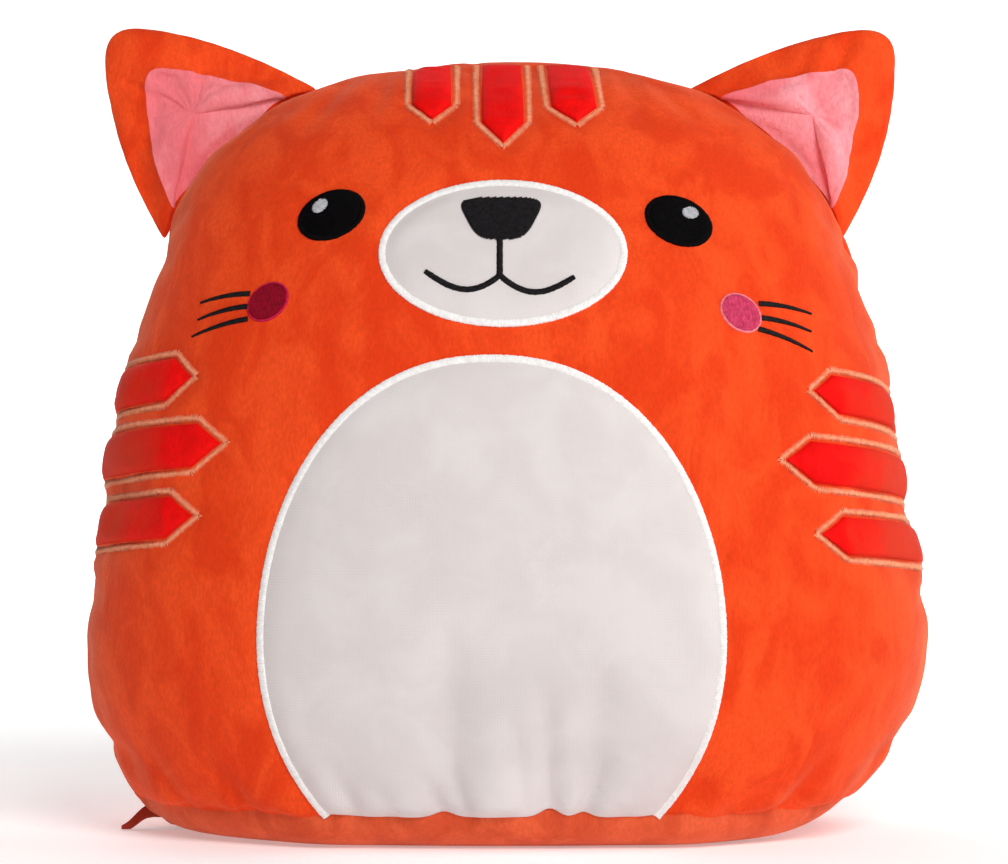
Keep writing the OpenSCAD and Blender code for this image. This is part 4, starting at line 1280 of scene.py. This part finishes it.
def make_ear(side, name):
    outline = ear_outline(RIGHT_SLIM if side > 0 else 0.0)
    n = len(outline)
    reach = pink_reach()
    border = [1.0, 0.97, 0.9, 0.75, 0.5, 0.25, 0.0]  # from the edge in to the pink cloth
    rings = [reach + (1 - reach) * part for part in border]
    rings += [reach * part for part in np.linspace(1, 0.06, 15)[1:]]
    rings = np.array(rings)
    flat = EAR_C + (outline - EAR_C)[None] * rings[..., None]
    half_t = 0.34 * EAR_THICK * np.maximum(1 - rings ** 2.4, 0) ** 0.6
    sheets = []
    for facing in (-1, 1):
        sheets.append(np.stack([flat[..., 0], facing * half_t, flat[..., 1]], -1).reshape(-1, 3))
    points = np.concatenate(sheets)
    count = len(rings) * n
    index = np.arange(count).reshape(len(rings), n)
    back = index + count
    back[0] = index[0]
    faces = []
    kinds = []
    pink_ring = len(border) - 1
    for sheet, flip in ((index, False), (back, True)):
        for r in range(len(rings) - 1):
            for j in range(n):
                k = (j + 1) % n
                f = [sheet[r, j], sheet[r, k], sheet[r + 1, k], sheet[r + 1, j]]
                faces.append([int(v) for v in (f[::-1] if flip else f)])
                kinds.append(2 if flip else (1 if r >= pink_ring else 0))
        cap = [int(v) for v in sheet[-1]]
        faces.append(cap[::-1] if flip else cap)
        kinds.append(2 if flip else 1)
    points[:, 0] *= side
    if side > 0:
        faces = [f[::-1] for f in faces]
    points, faces, renumber = compact(points, faces)
    held = np.zeros(len(points), bool)
    held[renumber[index[0]]] = True
    seam = renumber[index[pink_ring]]
    scratch = work_object(points, faces, kinds)
    inflate(scratch, held, pressure=4.0, growth=0.012, cap=5 * MM)
    seam_line = np.array([scratch.data.vertices[int(i)].co for i in seam])
    relax_middle(scratch, [renumber[index], renumber[back]], rings, RELAXED_RING)
    points, normals, faces, kinds = subdivided(scratch)
    seam_line = np.concatenate([
        seam_line + (np.roll(seam_line, -1, 0) - seam_line) * t for t in (0, 0.33, 0.67)
    ])
    press(points, normals, seam_line, 1.0 * MM, 1.6 * MM)
    for a, c, b, depth, width in EAR_FOLDS[name]:
        line = bezier(a, c, b, 24) * MM
        wall = np.stack([line[:, 0] * side, np.full(24, -8.5 * MM), line[:, 1]], -1)
        press(points, normals, wall, depth * MM * np.sin(np.pi * np.linspace(0.05, 1, 24)), width * MM)
    for piece_name, kind, material, slot, node in (
        ("ear_plush_front_", 0, ORANGE, "orange_plush", "ear_front_"),
        ("ear_pink_", 1, PINK, "pink_plush", "ear_inner_"),
        ("ear_plush_back_", 2, ORANGE, "orange_plush", "ear_back_"),
    ):
        some, some_faces = pick_faces(points, faces, kinds, (kind,))
        piece = make_piece(piece_name + name, some, some_faces, material, None, (node + name,),
                           recalc=False)
        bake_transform(piece)
    centre = np.array([side * EAR_C[0], 0, EAR_C[1]])
    fibre = centre + (points - centre) * [0.84, 0.45, 0.84]
    piece = make_piece("ear_fibre_" + name, fibre, faces, FIBRE, None,
                       ("ear_filling_" + name,), recalc=False)
    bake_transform(piece)


# Soft folds in an ear's front: two ends and a point that bends the line, in mm out from the middle of
# the cat and up, then how deep and how wide
EAR_FOLDS = {
    "left": [
        ((88, 272), (108, 268), (124, 250), 1.3, 9.0),
        ((102, 284), (118, 277), (130, 264), 0.9, 8.0),
    ],
    "right": [
        ((92, 277), (112, 272), (130, 277), 1.3, 8.0),
        ((108, 262), (120, 257), (131, 263), 1.0, 7.0),
    ],
}

# ------------------------------------------------------------------ zip


def make_coil():
    """Two nylon coils along the slot, each a helix beside the slider's blade."""
    low, high = box_of("zip_coil")
    middle = (low[2] + high[2]) / 2
    turns = (high[0] - low[0]) / (1.5 * MM)
    t = np.linspace(0, turns * 2 * math.pi, int(turns * 12))
    heap = Heap()
    for side in (-1, 1):
        centre_y = side * (high[1] - 1 * MM)
        route = np.stack([
            low[0] + (high[0] - low[0]) * t / t[-1],
            centre_y + side * 0.92 * MM * np.cos(t),
            middle + 0.72 * MM * np.sin(t),
        ], -1)
        up = np.broadcast_to(np.array([1.0, 0, 0]), route.shape)
        heap.grid(tube_rings(route, up, 0.33 * MM, 6), wrap_cols=True, caps=True)
    heap_piece(heap, "zip_coil_turns", COIL_NYLON, ("zip_coil",))


def make_tape(node):
    """A woven tape with fine ribs along its length and a cord at its inner edge."""
    low, high = box_of(node)
    width = high[1] - low[1]
    inner = -1 if low[1] > 0 else 1  # which way the slot lies
    v = np.linspace(0, 1, 46)
    ribs = 0.06 * MM * np.sin(v * 40 * math.pi)
    thick = 0.22 * MM + 0.18 * MM * np.exp(-((v - 0.03) / 0.04) ** 2)
    edge = high[1] if inner > 0 else low[1]
    y = edge - inner * v * width
    z = (low[2] + high[2]) / 2
    loop_y = np.concatenate([y, y[::-1]])
    loop_z = np.concatenate([z + thick + ribs, (z - thick - ribs)[::-1]])
    x = np.linspace(low[0], high[0], 90)
    wave = 0.12 * MM * np.sin(x * 160)
    grid = np.stack([
        np.broadcast_to(x[:, None], (len(x), len(loop_y))),
        np.broadcast_to(loop_y[None], (len(x), len(loop_y))),
        loop_z[None] + wave[:, None] * np.linspace(0, 1, len(loop_y))[None],
    ], -1)
    heap = Heap()
    heap.grid(grid, wrap_cols=True, caps=True)
    heap_piece(heap, node.replace("zip_tape", "zip_tape_cloth"), TAPE_CLOTH, (node,))


def make_ribbon():
    """The pull's ribbon: doubled through the tab's eye, turned on edge where it leaves the slot."""
    low, high = box_of("zip_pull_ribbon")
    eye_x = high[0] - 0.7 * MM
    middle = (low[2] + high[2]) / 2
    heap = Heap()
    count = 46
    u = np.linspace(0, 1, count)
    reach = eye_x - low[0] + 1.5 * MM
    for layer in (-1, 1):
        leaf = np.sin(np.pi * np.clip((u - 0.42) / 0.58, 0, 1) ** 0.8) ** 0.7
        spread = (np.exp(-u * 9) * 0.95 + 0.32 + 0.55 * leaf) * MM
        turn = np.radians(90) * smoothstep(0.12, 0.5, u)
        x = eye_x - reach * u
        sway = 0.5 * MM * np.sin(u * 5.0) - 5.0 * MM * smoothstep(0.5, 1.0, u)
        lift = (4.2 * smoothstep(0.2, 0.55, u) - 5.6 * smoothstep(0.6, 0.98, u)) * MM
        half_w = (1.15 - 0.3 * smoothstep(0.1, 0.45, u) + 1.6 * leaf) * MM
        across = np.array([-1, -0.5, 0, 0.5, 1, 1, 0.5, 0, -0.5, -1])
        rise = np.array([0.2, 0.28, 0.3, 0.28, 0.2, -0.2, -0.28, -0.3, -0.28, -0.2]) * MM
        a = across[None] * half_w[:, None]
        b = rise[None] + layer * spread[:, None]
        y = sway[:, None] + a * np.cos(turn)[:, None] - b * np.sin(turn)[:, None]
        z = middle + lift[:, None] + a * np.sin(turn)[:, None] + b * np.cos(turn)[:, None]
        x = np.broadcast_to(x[:, None], y.shape)
        heap.grid(np.stack([x, y, np.maximum(z, 0.15 * MM)], -1), wrap_cols=True, caps=True)
    t = np.radians(np.linspace(-90, 90, 12))
    loop_x = eye_x + 1.0 * MM * np.cos(t) - 0.2 * MM
    loop_z = middle + 1.35 * MM * np.sin(t)
    wide = np.array([-1.1, 1.1]) * MM
    outer = np.stack(np.broadcast_arrays(loop_x[:, None], wide[None], loop_z[:, None]), -1)
    centre = np.array([eye_x - 0.2 * MM, 0, middle])
    inner = centre + (outer - centre) * [0.45, 1, 0.62]
    section_loop = np.concatenate([outer, inner[:, ::-1]], 1)
    heap.grid(section_loop, wrap_cols=True, caps=True)
    heap_piece(heap, "zip_pull_ribbon_cloth", RIBBON_CLOTH, ("zip_pull_ribbon",), "zip_pull")


def dress_metal():
    for node in ("zip_slider", "zip_pull_tab", "zip_stops"):
        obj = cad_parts[node]
        for k in range(len(obj.material_slots)):
            obj.material_slots[k].material = ZIP_METAL


# ------------------------------------------------------------------ floor, light and camera


def make_stage():
    """A plain pale floor that rises into a backdrop behind the cat."""
    mat, tree, bsdf = new_material("pale floor")
    bsdf.inputs["Base Color"].default_value = (0.90, 0.90, 0.90, 1)
    bsdf.inputs["Roughness"].default_value = 0.9
    bsdf.inputs["Specular IOR Level"].default_value = 0.1
    bsdf.inputs["Emission Color"].default_value = (1, 1, 1, 1)
    coord = tree.nodes.new("ShaderNodeTexCoord")
    split = tree.nodes.new("ShaderNodeSeparateXYZ")
    tree.links.new(coord.outputs["Object"], split.inputs["Vector"])
    glow = ramp(tree, split.outputs["Y"], 0.1, 1.6, 0.30, 0.95)  # the backdrop glows white
    tree.links.new(glow, bsdf.inputs["Emission Strength"])
    bend = np.radians(np.linspace(0, 90, 16))
    run = np.concatenate([[-4.0], 1.6 + 1.2 * np.sin(bend), [2.8]])
    rise = np.concatenate([[0.0], 1.2 - 1.2 * np.cos(bend), [5.0]])
    x = np.array([-5.0, 5.0])
    grid = np.stack(np.broadcast_arrays(x[:, None], run[None], rise[None]), -1)
    heap = Heap()
    heap.grid(grid)
    floor = make_piece("floor", np.concatenate(heap.points), heap.faces, mat)


def area_light(name, place, target, size, power, colour=(1, 1, 1)):
    light = bpy.data.lights.new(name, "AREA")
    light.shape = "DISK"
    light.size = size
    light.energy = power
    light.color = colour
    obj = bpy.data.objects.new(name, light)
    obj.location = place
    obj.rotation_euler = (Vector(target) - Vector(place)).to_track_quat("-Z", "Y").to_euler()
    bpy.context.scene.collection.objects.link(obj)


def make_lights():
    middle = (0, 0, 0.15)
    area_light("key", (0.52, -1.42, 1.15), middle, 0.9, 22, (1.0, 0.985, 0.97))
    area_light("side", (1.4, -0.15, 0.55), middle, 0.7, 5)
    area_light("rim", (-0.5, 0.9, 1.0), middle, 0.8, 2.2)
    world = bpy.data.worlds.new("studio")
    world.use_nodes = True
    tree = world.node_tree
    background = tree.nodes["Background"]
    background.inputs["Color"].default_value = (1, 1, 1, 1)
    path = tree.nodes.new("ShaderNodeLightPath")
    strength = ramp(tree, path.outputs["Is Camera Ray"], 0.0, 1.0, 0.085, 1.0)  # seen white, lights dimly
    tree.links.new(strength, background.inputs["Strength"])
    bpy.context.scene.world = world


def make_camera():
    """A level camera 1.3 m in front of the cat, half way up it."""
    distance = 1.3
    view_width = 1.205 * BODY_W  # what the frame spans at the cat's seam plane
    camera = bpy.data.cameras.new("camera")
    camera.sensor_width = 36
    camera.lens = 36 * distance / view_width
    obj = bpy.data.objects.new("camera", camera)
    obj.location = (0.0004, -distance, 0.519 * BODY_H)
    obj.rotation_euler = (math.radians(90), 0, 0)
    bpy.context.scene.collection.objects.link(obj)
    bpy.context.scene.camera = obj
    bpy.context.scene.view_settings.view_transform = "Standard"


# ------------------------------------------------------------------ all of it

make_camera()
make_lights()
make_stage()
face_map, side_map = make_body()
make_patches(face_map)
make_eyes(face_map)
make_cheeks(face_map)
make_nose_and_mouth(face_map)
make_whiskers(face_map)
make_stripes(face_map, side_map)
make_ear(-1, "left")
make_ear(1, "right")
make_coil()
make_tape("zip_tape_front")
make_tape("zip_tape_back")
make_ribbon()
dress_metal()
